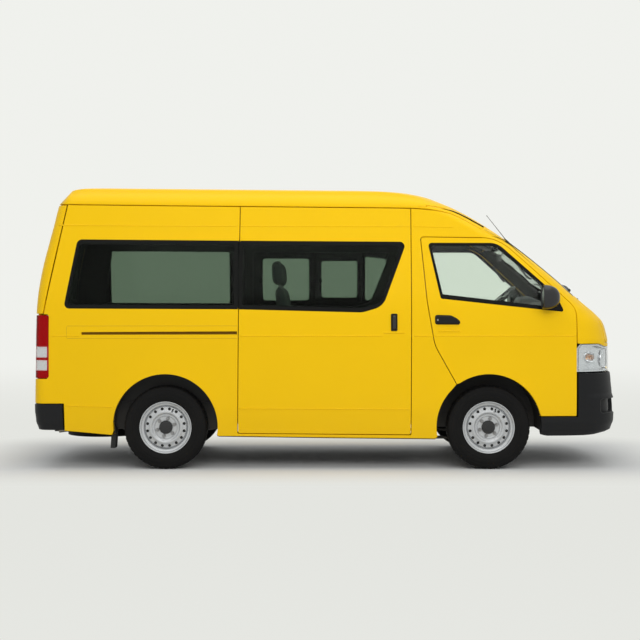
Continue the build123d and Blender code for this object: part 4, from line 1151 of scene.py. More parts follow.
def paneSheets(corners, clear):
    marks = [(outline(m, 12)[0], 1) for m in clear]
    return [skin(outline(corners, 12), sideWay(-1), grid=30, roll=1.6, depth=5, marks=marks),
            skin(outline(corners, 18), sideWay(-1), inset=5.2, grid=48, roll=1, depth=2, inward=True,
                 marks=marks)]


quarterClear = [[(-742, 1786, 20), (-1978, 1796, 36), (-2064, 1310, 26), (-742, 1305, 12)]]
slideClear = [[(-672, 1786, 14), (-672, 1306, 14), (270, 1282, 170), (428, 1322, 110), (592, 1776, 34)]]
farQuarter = [[(-890, 1791, 24), (-1983, 1791, 30), (-1983, 1310, 26), (-890, 1310, 24)]]
farSlide = [[(-584, 1726, 30), (-584, 1343, 30), (-158, 1343, 30), (-158, 1726, 30)],
            [(-43, 1704, 26), (-43, 1368, 26), (286, 1368, 26), (286, 1704, 26)],
            [(360, 1745, 14), (360, 1345, 20), (415, 1345, 60), (564, 1720, 30)]]
farPanes = paneSheets(quarterGlass, farQuarter) + paneSheets(slideGlass, farSlide)
sidePanes = paneSheets(quarterGlass, quarterClear) + [flipped(s) for s in farPanes]
slidePanes = paneSheets(slideGlass, slideClear)
tinted = [bandBlack, privacyGlass]
sheetPiece("sideGlass", sidePanes, tinted, "body", ["side_glass"], "tinted_glass")
sheetPiece("slidingDoorGlass", slidePanes, tinted, "body", ["sliding_door_glass"], "tinted_glass")
doorClear = [[(832, 1780, 18), (918, 1392, 10), (1790, 1291, 8), (1782, 1400, 70), (1352, 1780, 130)]]
doorPanes = paneSheets(windowCorners, doorClear)
sheetPair("DoorGlass", doorPanes, [bandBlack, clearGlass], "{}_door", "{}_door_glass", "clear_glass")
print("glass ready")


def unrolledSide(points, step=30.0):
    return unroll(onSide(points, step, bumperForm), *frontPost)


bumperAt = {"rear": 1990.5, "step": 417}
archR = van["archRadius"] - 1
archFoot = [(cab + archR * cos(a), van["archZ"] + archR * sin(a)) for a in np.linspace(.18, -.16, 8)]
bumperEdge = [(bumperAt["rear"], 765), (bumperAt["rear"], bumperAt["step"]),
              (archFoot[0][0], bumperAt["step"])]
bumperHalf = unrolledSide(bumperEdge + archFoot + [(1750, 262), (1990, 264), (2060, 262)])
bumperLoop = cornersOf(bothSides(bumperHalf))


def roundPath(corners, step=12, form=bumperForm):
    # an outline given on the front, carried over to the unrolled sheet
    q, _ = outline(corners, step)
    return unroll(land(frontWay(), q, form), *frontPost), unjoined(q)


def nosePad(corners, step=12, form=bodyForm, **cut):
    return skin(roundPath(corners, step, form), noseWrap, form=form, **cut)


plateRest = box(-272, 459, 272, 585, 10)
intake = [(-455, 320, 22), (455, 320, 22), (430, 428, 22), (-430, 428, 22)]
fogU = unrolledSide([(2178, 562), (2178, 450)], 200)
fogLoop = [(float(fogU[0][0]), 560, 20), (float(fogU[-1][0]), 448, 20), (-332, 440, 26), (-322, 556, 26)]
fogLoops = [fogLoop, [(-a, b, r) for a, b, r in fogLoop]]
bumperHoles = [roundPath(plateRest), roundPath(intake)] + [outline(f, 12) for f in fogLoops]
bumperOut = skin(outline(bumperLoop, 22), noseWrap, bumperHoles, form=bumperForm, grid=22, roll=6, depth=46)
sheetPiece("frontBumper", [bumperOut], [blackPlastic], "body", ["front_bumper"], "black_plastic")
restSheet = nosePad(grownCorners(plateRest, 4), form=bumperForm, grid=30, roll=2, depth=8, sink=8)
plateSheet = nosePad(grownCorners(plateRest, -6), form=bumperForm, grid=30, roll=1.5, depth=3, sink=4.5)
sheetPiece("frontPlateRest", [restSheet], [glossBlack], "body")
sheetPiece("frontPlate", [plateSheet], [plateWhite], "body")
for y in (-75, 75):
    x = float(land(frontWay(), [[y, 520]], bumperForm)[0][0]) - 3.5
    meshPiece("plateScrew", lambda bm: stub(bm, 7, 5.5, 3, (x, y, 520), "Y"), [bareSteel], bevel=.8)

intakeBack = nosePad(grownCorners(intake, 6), form=bumperForm, inset=42, grid=40, roll=2, depth=4)
bars = [nosePad(box(-452 + k * 6, z - 7, 452 - k * 6, z + 7, 3), 20, bumperForm, grid=40, roll=3, depth=26,
                sink=10) for k, z in enumerate((346, 374, 402))]
sheetPiece("bumperIntake", [withMaterial(intakeBack, 1)] + bars, [blackPlastic, glossBlack], "body")
pockets = [skin(outline(grownCorners(f, 5), 16), noseWrap, form=bumperForm, inset=44, grid=26, roll=2,
                depth=3) for f in fogLoops]
sheetPiece("fogPockets", pockets, [blackPlastic], "body")


def turnedProfile(bm, profile, origin, axis, segments=48, material=0):
    # profile (radius, along) swept round an axis through origin
    axis = Vector(axis).normalized()
    u = axis.orthogonal().normalized()
    w = axis.cross(u)
    rows = []
    for r, along in profile:
        if r < 1e-4:
            rows.append([bm.verts.new(Vector(origin) + axis * along)])
            continue
        turns = [2 * pi * k / segments for k in range(segments)]
        rows.append([bm.verts.new(Vector(origin) + axis * along + (u * cos(a) + w * sin(a)) * r)
                     for a in turns])
    for a, b in zip(rows, rows[1:]):
        for k in range(segments):
            j = (k + 1) % segments
            ring = [a[k % len(a)], a[j % len(a)], b[j % len(b)], b[k % len(b)]]
            ring = [v for i, v in enumerate(ring) if v not in ring[:i]]
            if len(ring) > 2:
                bm.faces.new(ring).material_index = material


def fogLamp(bm):
    place = (2252, -632, 500)
    aim = (1, -.16, 0)
    turnedProfile(bm, [(52, -8), (54, 0), (50, 4), (46, 3), (44, -6), (0, -30)], place, aim, 40, 0)
    turnedProfile(bm, [(45, -1), (42, 2), (24, 5.5), (0, 7)], place, aim, 40, 1)
    turnedProfile(bm, [(55, -4), (72, -8), (74, -40), (60, -74), (0, -76)], place, aim, 40, 0)


meshPair("FogLamp", fogLamp, [blackPlastic, lampClear])

# rear bumper
rearHalf = unroll(onSide([(-2099, 518), (-2095, 312)], 40, bumperForm), *tailPost)
rearBumperLoop = cornersOf(bothSides(rearHalf))
rearBumperSheet = skin(outline(rearBumperLoop, 22), tailWrap, form=bumperForm, grid=22, roll=7, depth=60)
sheetPiece("rearBumper", [rearBumperSheet], [blackPlastic], "body", ["rear_bumper"], "black_plastic")

# grille
grilleHole = roundPath(box(-440, 822, 440, 946, 12), form=bodyForm)
grilleFrame = nosePad(box(-463, 803, 463, 963, 8), holes=[grilleHole], grid=24, roll=3, depth=36)
grilleBack = nosePad(box(-462, 802, 462, 964, 4), inset=40, grid=60, roll=2, depth=4)
slats = [nosePad(box(-446, z - 8, 446, z + 8, 4), 18, grid=34, roll=4, depth=30, sink=6)
         for z in (848, 884, 920)]
uprights = [nosePad(box(y - 4, 820, y + 4, 948, 1), 14, grid=24, roll=1.5, depth=14, sink=20)
            for y in (-330, -220, -110, 0, 110, 220, 330)]
slats, uprights = [withMaterial(s, 1) for s in slats], [withMaterial(s, 2) for s in [grilleBack] + uprights]
sheetPiece("grilleFrame", [grilleFrame] + slats + uprights, [glossBlack, chromeTrim, chassisBlack], "body",
           ["grille"], "black_plastic")
underGrille = nosePad(box(-466, 768.5, 466, 800, 2), grid=24, roll=3, depth=30)
sheetPiece("grilleSill", [underGrille], [bodyYellow], "body")

# headlamps
lensSide = unroll(onSide([(1992, 990), (1992, 775)], 30), *frontPost)
lensTop = unroll(onSide([(2022, 994), (2176, 994), (2230, 972.5), (2262, 969)], 26), *frontPost)
lensFront = unroll(onFront([(-560, 966), (-471, 965), (-471, 775)], 40), *frontPost)
lensLoop = cornersOf(lensSide[::-1][:-1]) + cornersOf(lensTop) + cornersOf(lensFront)
lensPath = outline(lensLoop, 14)
lensSheets = [skin(lensPath, noseWrap, grid=20, roll=5, depth=16),
              skin(lensPath, noseWrap, inset=3.2, grid=40, roll=3, depth=9, inward=True)]


def drawnIn(path, amount):
    # a closed outline, smaller all round
    q, flags = path
    return shifted(q, flags, amount if areaOf(q) > 0 else -amount), flags


bowlSheet = skin(drawnIn(lensPath, 9), noseWrap, inset=52, grid=26, roll=2, depth=3)
bezel = skin(lensPath, noseWrap, [drawnIn(lensPath, 13)], inset=13, grid=20, roll=2, depth=36)
sheetPair("HeadlampLens", lensSheets, [lampClear], "body", "headlamps", "headlamp_lens")
sheetPair("HeadlampBowl", [bowlSheet, bezel], [lampBowl])


def reflectors(bm):
    # a round main dish, a ribbed side lamp with its bulb, and a spacer between them
    main, aim = (2202, -592, 872), (1, -.20, 0)
    dish = [(r, -22 + 40 * (r / 76) ** 2) for r in (0, 16, 30, 44, 56, 66, 76)] + [(79, 19), (79, 12)]
    turnedProfile(bm, dish, main, aim, 56, 0)
    turnedProfile(bm, [(0, 22), (10, 20), (13, 10), (13, -20)], main, aim, 24, 1)
    wallY = land(sideWay(-1), [[2094, 890]])[0][1]
    small, out = (2094, wallY + 44, 890), (.10, -1, 0)
    turnedProfile(bm, [(0, -16)] + [(r, -16 + 26 * (r / 36) ** 2) for r in (10, 20, 30, 36)]
                  + [(39, 11), (39, 6), (44, 3), (44, -12)], small, out, 40, 0)
    turnedProfile(bm, [(0, 10), (5, 9), (7, 4), (7, -14)], small, out, 20, 2)
    for k in range(5):
        z = 796 + k * 9
        made = bmesh.ops.create_cube(bm, size=1)
        bmesh.ops.scale(bm, vec=(104, 9, 3.4), verts=made["verts"])
        bmesh.ops.rotate(bm, verts=made["verts"], matrix=Matrix.Rotation(-.10, 3, "Z"))
        bmesh.ops.translate(bm, verts=made["verts"], vec=(2082, wallY + 44, z))


meshPair("Reflectors", reflectors, [lampBowl, chromeTrim, lampAmber], bevel=.8)

# tail lamps
tailLampSide = unroll(onSide([(-2205, 1225), (-2205, 725)], 40), *tailPost)
tailLampLoop = cornersOf(tailLampSide) + cornersOf(unroll(onTail([(-703, 725), (-703, 1225)], 60), *tailPost))


def lampBand(z0, z1, inset=0.0):
    side = unroll(onSide([(-2205 - inset, z1), (-2205 - inset, z0)], 40), *tailPost)
    end = unroll(onTail([(-703 - inset, z0), (-703 - inset, z1)], 60), *tailPost)
    return outline(cornersOf(side, 3) + cornersOf(end, 3), 12)[0]


whites = [(lampBand(889, 975, 16), 1), (lampBand(786, 868, 16), 1)]
lampEnd = len(tailLampSide) - 1
tailLampLoop = [(a, b, 24 if k in (0, lampEnd) else 0) for k, (a, b, _) in enumerate(tailLampLoop)]
tailLens = skin(outline(tailLampLoop, 13), tailWrap, grid=20, roll=5, depth=22, marks=whites)
tailBowl = skin(outline(tailLampLoop, 20), tailWrap, inset=24, grid=40, roll=2, depth=4)
sheetPair("TailLens", [tailLens], [lampRed, lampClear], "body", "tail_lamps", "tail_lens")
sheetPair("TailBowl", [tailBowl], [lampBowl])
print("lamps and bumpers ready")


rimShape = {"segments": 96, "holes": 16, "holeAt": 148.5, "holeR": 12.2, "nuts": 6, "nutAt": 70, "cap": 53.5}
rimFace = [(196, 66), (203, 74), (208, 75.5), (209, 78.5), (207, 80.8), (203, 81), (199.5, 79), (197, 74),
           (195, 66), (190, 61), (184, 58), (178, 55), (173, 46), (170.5, 38),
           (167.5, 36), (166, 41), (164.5, 47), (161, 50.5), (156, 52), (144, 53.5), (137, 56.5),
           (130, 61.5), (125, 64.5), (120.5, 65.5), (116, 64.2), (111, 59), (106, 53.5),
           (101, 50.5), (96.5, 50), (94, 51.8), (91, 51.8), (88.5, 48), (85, 46), (78, 45.5), (60, 45.5),
           (53, 45.5), (52, 40)]
rimBack = [(52, 36), (88, 37), (110, 48), (122, 56), (140, 46), (158, 42), (166, 34), (170, 10), (172, -20),
           (176, -46), (184, -58), (193, -66), (196, -74), (203, -81), (208, -80),
           (208, -76), (198, -72), (196, -60)]


def turnedWheel(bm, profile, segments, closed=True, material=0):
    # profile (radius, outboard distance) turned about the wheel's own axle, outboard being -y
    rows = [[bm.verts.new((r * cos(2 * pi * k / segments), -a, r * sin(2 * pi * k / segments)))
             for k in range(segments)] for r, a in profile]
    joinRows(bm, rows + rows[:1] if closed else rows, material=material)


def rimMesh():
    bm, cut = bmesh.new(), bmesh.new()
    turnedWheel(bm, rimFace + rimBack, rimShape["segments"])
    bmesh.ops.recalc_face_normals(bm, faces=bm.faces)
    for k in range(rimShape["holes"]):
        a = 2 * pi * k / rimShape["holes"] + .2
        where = (rimShape["holeAt"] * cos(a), -50, rimShape["holeAt"] * sin(a))
        stub(cut, rimShape["holeR"], rimShape["holeR"], 60, where, "X")
    solid, tool = linked("rimBlank", meshOf(bm, "rimBlank")), linked("rimHoles", meshOf(cut, "rimHoles"))
    take = solid.modifiers.new("holes", "BOOLEAN")
    take.operation, take.object, take.solver = "DIFFERENCE", tool, "EXACT"
    made = asMade(solid)
    for o in (solid, tool):
        bpy.data.objects.remove(o)
    return made


def hubParts(bm):
    # nuts on their studs, the cap and the valve
    for k in range(rimShape["nuts"]):
        a = 2 * pi * k / rimShape["nuts"] + .3
        x, z = rimShape["nutAt"] * cos(a), rimShape["nutAt"] * sin(a)
        for radius, low, high, sides in ((15.5, 45, 48, 24), (11.5, 48, 62, 6), (6, 62, 69, 16)):
            tip = radius * (.94 if sides != 16 else .8)
            stub(bm, radius, tip, high - low, (x, -(low + high) / 2, z), "X", sides)
    c = rimShape["cap"]
    turnedWheel(bm, [(c - 1, 36), (c, 48), (c, 57), (c - 2, 60), (c - 6, 61.5), (c - 9, 61), (c - 12, 62),
                     (28, 64), (14, 65), (.6, 65.2)], 48, False, 1)
    # a black ring close behind the rim's holes: painted shade that keeps them dark
    turnedWheel(bm, [(118, 27), (118, 30), (163, 30), (163, 27)], 64, True, 1)
    stem = [(0, -7), (6.5, -6), (7, 0), (5, 4), (4.2, 22), (5.4, 24), (5.4, 34), (4, 36), (0, 36)]
    turnedProfile(bm, stem, (150 * cos(1.18), -57, 150 * sin(1.18)),
                  (-.42 * cos(1.18), -1, -.42 * sin(1.18)), 20, 1)


tyreShape = {"segments": 264, "pitch": 6, "depth": 6.5}
tyreProfile = [(198, 70), (203, 76), (206, 80.5), (210, 84.5), (214, 86.6), (217, 86.2), (219, 87.6),
               (228, 91.2), (238, 93.8), (248, 95.4), (254, 95.9), (256, 95), (259, 95), (261, 96.2),
               (270, 96.3), (280, 95.4), (289, 93.4), (291, 92.2), (294, 92), (296, 92.2), (305, 89.6),
               (312, 86.4), (318, 82.5), (323, 77.5), (326.5, 72.5), (328.6, 67)]
treadRows = [61, 56, 53, 44, 35, 32, 26, 23, 14, 6, 3]


def treadDepth(k, r, a):
    # grooves round the crown, and the blocks and shoulder lugs cut across it
    w, deep = abs(a), tyreShape["depth"]
    lug = (k + (2 if a > 0 else 0)) % tyreShape["pitch"] == 0
    cuts = [0.0]
    if w in (32, 26, 3):
        cuts.append(deep)
    if 35 <= w <= 67 and lug:
        cuts.append(deep * (.9 if w > 44 else .7))
    if 67 < w < 86 and r > 318 and lug:
        cuts.append(3.0)
    if 6 <= w <= 23 and k % tyreShape["pitch"] == 3 and k % 2:
        cuts.append(2.4)
    return max(cuts)


def tyreMesh():
    crown = [(329 + 3.0 * (1 - (a / 64) ** 2), a) for a in treadRows]
    profile = tyreProfile + crown
    profile = profile + [(r, -a) for r, a in profile[::-1]]
    n = tyreShape["segments"]
    bm = bmesh.new()
    rows = []
    for r, a in profile:
        row = []
        for k in range(n):
            angle, out = 2 * pi * k / n, r - treadDepth(k, r, a)
            row.append(bm.verts.new((out * cos(angle), -a, out * sin(angle))))
        rows.append(row)
    joinRows(bm, rows)
    bmesh.ops.recalc_face_normals(bm, faces=bm.faces)
    return meshOf(bm, "tyre")


def wheelPiece(name, source, materials, axle, left, body, nodes, slotName, sharp, bevel=0.0):
    mesh = source.copy()
    mesh.name = name
    mesh.transform(Matrix.Diagonal((mm, mm * (-1 if left else 1), mm, 1)))
    if left:
        mesh.flip_normals()
    smoothed(mesh, materials, sharp)
    piece = linked(name, mesh)
    piece.location = (axle * mm, van["wheelY"] * mm * (1 if left else -1), van["axleZ"] * mm)
    softEdges(piece, bevel, 50)
    return place(piece, body, nodes, slotName)


hubBm = bmesh.new()
hubParts(hubBm)
bmesh.ops.recalc_face_normals(hubBm, faces=hubBm.faces)
hubMesh = meshOf(hubBm, "hub")
rimSource, tyreSource = rimMesh(), tyreMesh()
for end, axle in (("front", cab), ("rear", back)):
    for side in ("right", "left"):
        corner, label, left = end + "_" + side, end + side.capitalize(), side == "left"
        body = corner + "_wheel"
        wheelPiece(label + "Rim", rimSource, [wheelSilver], axle, left, body, [corner + "_rim"],
                   "wheel_silver", 34)
        wheelPiece(label + "Hub", hubMesh, [bareSteel, glossBlack], axle, left, body, [], None, 34, .5)
        wheelPiece(label + "Tyre", tyreSource, [tyreRubber], axle, left, body, [corner + "_tyre"],
                   "tyre_rubber", 30)
print("wheels ready")


# the sliding door's rail in its slot, in darkened body paint: painted shade of the slot
railBack = skin(outline(grownCorners(railSlot, 3), 16), sideWay(-1), inset=22, grid=40, roll=1, depth=4)
sheetPiece("slideRail", [railBack], [slotShadePaint], "body", ["slide_rail"], "bare_steel")


def loftPiece(bm, rows, cap=True, material=0):
    # rings of points joined in turn
    made = [[bm.verts.new(p) for p in row] for row in rows]
    joinRows(bm, made, material=material)
    if cap:
        for row in (made[0], made[-1]):
            bm.faces.new(row).material_index = material


upright, level = ((0, 1, 0), (0, 0, 1)), ((1, 0, 0), (0, 1, 0))


def roundedRing(centre, u, v, halfU, halfV, power=4.0, count=28):
    # points round a rounded oblong across u and v
    centre, u, v = Vector(centre), Vector(u), Vector(v)
    out = []
    for k in range(count):
        c, s = cos(2 * pi * k / count), sin(2 * pi * k / count)
        across, up = (abs(t) ** (2 / power) * (1 if t >= 0 else -1) for t in (c, s))
        out.append(centre + u * (halfU * across) + v * (halfV * up))
    return out


def sideY(x, z):
    return float(land(sideWay(-1), [[x, z]])[0][1])


def gripBar(bm, x0, z0, x1, z1, thick=11.0, tall=17.0, stand=19.0):
    # a pull grip standing off the panel on its two feet
    rows, count = [], 26
    length = hypot(x1 - x0, z1 - z0)
    along = Vector(((x1 - x0) / length, 0, (z1 - z0) / length))
    up = Vector((-along.z, 0, along.x))
    for k in range(count + 1):
        t = k / count
        x, z = x0 + (x1 - x0) * t, z0 + (z1 - z0) * t
        lift = stand * min(1, sin(pi * t) * 2.6) ** .5 - 5
        y = sideY(x, z) - lift
        size = 1 - .55 * abs(2 * t - 1) ** 6
        rows.append(roundedRing((x, y, z), up, (0, 1, 0), tall / 2 * size, thick / 2 * size, 3.2, 20))
    loftPiece(bm, rows)


doorGripLoop = [(862, 1158, 14), (1046, 1157, 12), (1050, 1173, 12), (1024, 1196, 40), (980, 1218, 60),
                (862, 1222, 14)]
doorGrip = [skin(outline(doorGripLoop, 7), sideWay(-1), grid=10, roll=9, depth=26, sink=-19, steps=5),
            skin(outline(grownCorners(doorGripLoop, 7), 10), sideWay(-1), grid=14, roll=3, depth=8, sink=-2)]
sheetPair("DoorGrip", doorGrip, [blackPlastic], "{}_door")
doorLip = skin(outline(box(880, 1092, 1056, 1109, 9), 8), sideWay(-1), grid=8, roll=7, depth=8, sink=-6,
               steps=4)
sheetPair("DoorLip", [doorLip], [bodyYellow], "{}_door")


def lockBarrel(bm):
    barrel = [(0, 3), (3, 3), (5.5, 2.4), (7, 1), (7, -4)]
    turnedProfile(bm, barrel, (876, sideY(876, 1188) - 19, 1188), (0, -1, -.05), 28)


meshPair("DoorLock", lockBarrel, [bareSteel], "{}_door")
slideGrip = skin(outline(box(506, 1100, 558, 1238, 10), 8), sideWay(-1), grid=12, roll=4, depth=12, sink=-6,
                 steps=4)
sheetPiece("slideGripPlate", [slideGrip], [blackPlastic], "body")
meshPiece("slideGrip", lambda bm: gripBar(bm, 532, 1108, 532, 1230, 15, 26, 21), [glossBlack])
slideLip = skin(outline(box(448, 1080, 620, 1095, 7), 8), sideWay(-1), grid=8, roll=6, depth=7, sink=-5,
                steps=4)
sheetPiece("slideLip", [slideLip], [bodyYellow], "body")


# pressed lines along the side and the rail cover's edges
def ribs(lines, width=10.0, high=3.6):
    # narrow raised bands along lines on the side
    made = []
    for line in lines:
        q = spaced(line, 24)
        d = np.gradient(q, axis=0)
        d /= np.linalg.norm(d, axis=1)[:, None]
        n = np.column_stack([-d[:, 1], d[:, 0]]) * width / 2
        loop = np.vstack([q + n, (q - n)[::-1]])
        made.append(skin((loop, unjoined(loop)), sideWay(-1), grid=width, roll=width / 2 - .6,
                         depth=high + 2, sink=-high, steps=4))
    return made


upperRear, upperDoor = [(-2150, 1946), (-716, 1938)], [(-690, 1938), (660, 1936)]
upperFront = [(690, 1936), (1010, 1932)]
beltRear, beltDoor = [(-2180, 1062), (-1966, 1061)], [(-690, 1061), (440, 1061)]
beltFront = [(690, 1061), (828, 1061)]
lowRear, lowDoor = [(-2072, 508), (-1690, 498)], [(-700, 487), (655, 479)]
sheetPiece("sideRibs", ribs([upperRear, upperFront, beltRear, beltFront, lowRear]), [bodyYellow], "body")
sheetPiece("slideRibs", ribs([upperDoor, beltDoor, lowDoor]), [bodyYellow], "body")
leftRibs = ribs([[(-2150, 1946), (660, 1936)], upperFront, [(-2180, 1062), (640, 1061)], lowRear, lowDoor])
sheetPiece("leftRibs", [flipped(s) for s in leftRibs], [bodyYellow], "body")
edgeLine = ribs([[(x, roofZ(x) + 9.5) for x in np.linspace(740, 1436, 26)]], 17, .6)
edgeLine += ribs([[(x, roofZ(x) + 19.5) for x in np.linspace(800, 1290, 20)]], 36, .9)
sheetPiece("gutterEdge", edgeLine + [flipped(s) for s in edgeLine], [bodyYellow], "body")
coverLines = ribs([[(-2062, 1140), (-712, 1141)], [(-2062, 1041), (-712, 1041)],
                   [(-2066, 1046), (-2066, 1136)]], 4.2, .6)
sheetPiece("railCoverLines", coverLines, [bodyShade], "body")
sheetPair("DoorRib", ribs([[(856, 1061), (1976, 1061)]]), [bodyYellow], "{}_door")

# door mirrors
mirror = {"y": -906, "z": 1369, "half": (82, 96)}


def mirrorRing(x, wide, high, dy=0.0, dz=0.0):
    return roundedRing((x, mirror["y"] + dy, mirror["z"] + dz), *upright, wide, high, 2.5, 44)


def mirrorShell(bm):
    # the head lofted forwards from its glass rim
    profile = [(1696, .90), (1699, .965), (1708, 1), (1728, 1), (1754, .965), (1780, .88), (1802, .75),
               (1818, .59), (1828, .41), (1833, .22), (1835, .05)]
    wide, high = mirror["half"]
    rows = [mirrorRing(x, wide * size, high * size, 10 * (1 - size), -6 * (1 - size)) for x, size in profile]
    loftPiece(bm, [mirrorRing(1702, wide * .86, high * .86)] + rows)


def mirrorFoot(bm):
    foot = [(1700, -815, 1266), (1856, -800, 1264), (1832, -800, 1322), (1765, -808, 1372)]
    inner = [Vector(p) for p in foot]
    outer = [Vector((x, y - 16, z + 3)) for x, y, z in ((1716, -815, 1272), (1848, -800, 1270),
                                                        (1826, -800, 1318), (1768, -808, 1356))]
    loftPiece(bm, [inner, outer])
    rows = []
    for k in range(9):
        t = k / 8
        rows.append(roundedRing((1798 + 10 * t, -826 - 40 * t, 1302 + 26 * t - 10 * sin(pi * t)),
                                (0, .35, 1), (1, 0, 0), 21 - 4 * sin(pi * t), 34 - 7 * sin(pi * t), 2.4, 24))
    loftPiece(bm, rows)


def mirrorFace(bm):
    rim = mirrorRing(1708, 72, 84)
    inner = mirrorRing(1706.5, 67, 79)
    loftPiece(bm, [rim, inner], cap=False)
    bm.faces.new([bm.verts.new(p) for p in inner])


meshPair("MirrorHead", mirrorShell, [glossBlack], "{}_door", "{}_door_mirror", "black_plastic", sharp=50)
meshPair("MirrorFoot", mirrorFoot, [blackPlastic], "{}_door", sharp=30, bevel=2)
meshPair("MirrorGlass", mirrorFace, [mirrorGlass], "{}_door", sharp=20)


# wipers: arm, knuckle and blade, each following the windscreen
def screenPoint(y, z, off):
    p = land(frontWay(), [[y, z]])
    n = normalsAt(p)
    return Vector((p + n * off)[0])


def wiper(bm, pivot, tip, blade0, blade1):
    # an arm from the pivot to the blade's middle, and the blade on its claws
    p, t = pivot, tip
    rows = []
    for k in range(13):
        s = k / 12
        off = 9 + 9 * sin(pi * min(1, s * 1.1)) - 2 * s
        c = screenPoint(p[0] + (t[0] - p[0]) * s, p[1] + (t[1] - p[1]) * s, off)
        rows.append(roundedRing(c, (0, .2, 1), (.6, 0, .5), 7.5 - 3 * s, 3.6, 3, 14))
    loftPiece(bm, rows)
    base = screenPoint(*p, 2)
    n = (screenPoint(*p, 10) - base).normalized()
    turnedProfile(bm, [(0, 18), (8, 17), (13, 13), (15, 6), (15, -2)], base, n, 28)
    rubber, spine = [], []
    for k in range(21):
        s = k / 20
        y, z = blade0[0] + (blade1[0] - blade0[0]) * s, blade0[1] + (blade1[1] - blade0[1]) * s
        thin = 1 - .35 * abs(2 * s - 1) ** 4
        rubber.append(roundedRing(screenPoint(y, z, 3.2), (0, 0, 1), n, 3.4, 2.6, 2.4, 10))
        spine.append(roundedRing(screenPoint(y, z, 8.2), (0, 0, 1), n, 6.2 * thin, 2.6 * thin, 3, 14))
    loftPiece(bm, rubber)
    loftPiece(bm, spine)


# each wiper's pivot, where its arm meets the blade, and the blade's two ends: across and up
wiperAt = [((-560, 1420), (-250, 1470), (-500, 1429), (20, 1519)),
           ((84, 1415), (350, 1455), (112, 1420), (600, 1490))]


def bothWipers(bm):
    for places in wiperAt:
        wiper(bm, *places)


meshPiece("wiperSet", bothWipers, [glossBlack], "body", ["wipers"], "black_plastic", sharp=40)


def nozzles(bm):
    for y in (-500, 500):
        p = land(frontWay(), [[y, 1352]])
        n = Vector(normalsAt(p)[0])
        turnedProfile(bm, [(0, 9), (5, 8.4), (9, 5), (11, 0), (11, -3)], p[0], n, 24)


meshPiece("washerNozzles", nozzles, [glossBlack], "bonnet_lid")


def whip(bm):
    foot, tip = Vector((cab + 180, -643, 1808)), Vector((cab + 7, -640, 2028))
    d = (tip - foot).normalized()
    long = (tip - foot).length
    base = [(0, -30), (9.5, -30), (9.8, 6), (8, 16), (6, 24), (4.2, 32), (3.0, 40), (2.6, 60), (2.2, 200)]
    turnedProfile(bm, base + [(1.9, long - 4), (3.2, long - 3), (3.4, long + 1), (0, long + 3)], foot, d, 20)


meshPiece("antennaWhip", whip, [glossBlack], "body", ["antenna"], "black_plastic")


def flaps(bm):
    # a rubber sheet with moulded ribs, hung behind each rear wheel
    for s in (-1, 1):
        rows = []
        for k in range(9):
            t = k / 8
            z = 160 + 165 * t
            lean = -7 * (1 - t) ** 2
            rows.append([(back - 405 + lean, s * y, z) for y in np.linspace(630, 748, 10)])
        grid = [[bm.verts.new(p) for p in row] for row in rows]
        rear = [[bm.verts.new((p[0] - 7 - (1.6 if k % 2 else 0), p[1], p[2])) for k, p in enumerate(row)]
                for row in rows]
        joinRows(bm, grid, around=False)
        joinRows(bm, rear, around=False)
        joinRows(bm, [[*g[0], *[r[-1] for r in g[1:]], *g[-1][-2::-1], *[r[0] for r in g[-2:0:-1]]]
                      for g in (grid, rear)])
        # the stiffened outer edge, turned back
        fold = [[Vector((back - 406 - 36 * t - 7 * (1 - z0) ** 2, s * (745 - 3 * t), 160 + 165 * z0))
                 for t in (0, .5, 1)] for z0 in np.linspace(0, 1, 6)]
        thick = Vector((0, s * 7, 0))
        loftPiece(bm, [[*row, *[p - thick for p in row[::-1]]] for row in fold])


meshPiece("mudflapPair", flaps, [rubberSeal], "body", ["mudflaps"], "soft_rubber", sharp=40)


def tailLatch(bm):
    # the lower handle's surround, with its finger well
    rows = [roundedRing((x, 0, 602), *upright, a, b, 9, 60)
            for x, a, b in ((-2316, 190, 66), (-2341, 190, 66), (-2346, 187, 63), (-2348, 181, 57),
                            (-2346, 120, 34), (-2334, 112, 28), (-2330, 100, 22))]
    loftPiece(bm, rows)


meshPiece("tailgateLatch", tailLatch, [blackPlastic], "tailgate", bevel=.8)
print("fittings ready")


clothPad = {"pressure": 4.0, "frames": 20, "quality": 4}


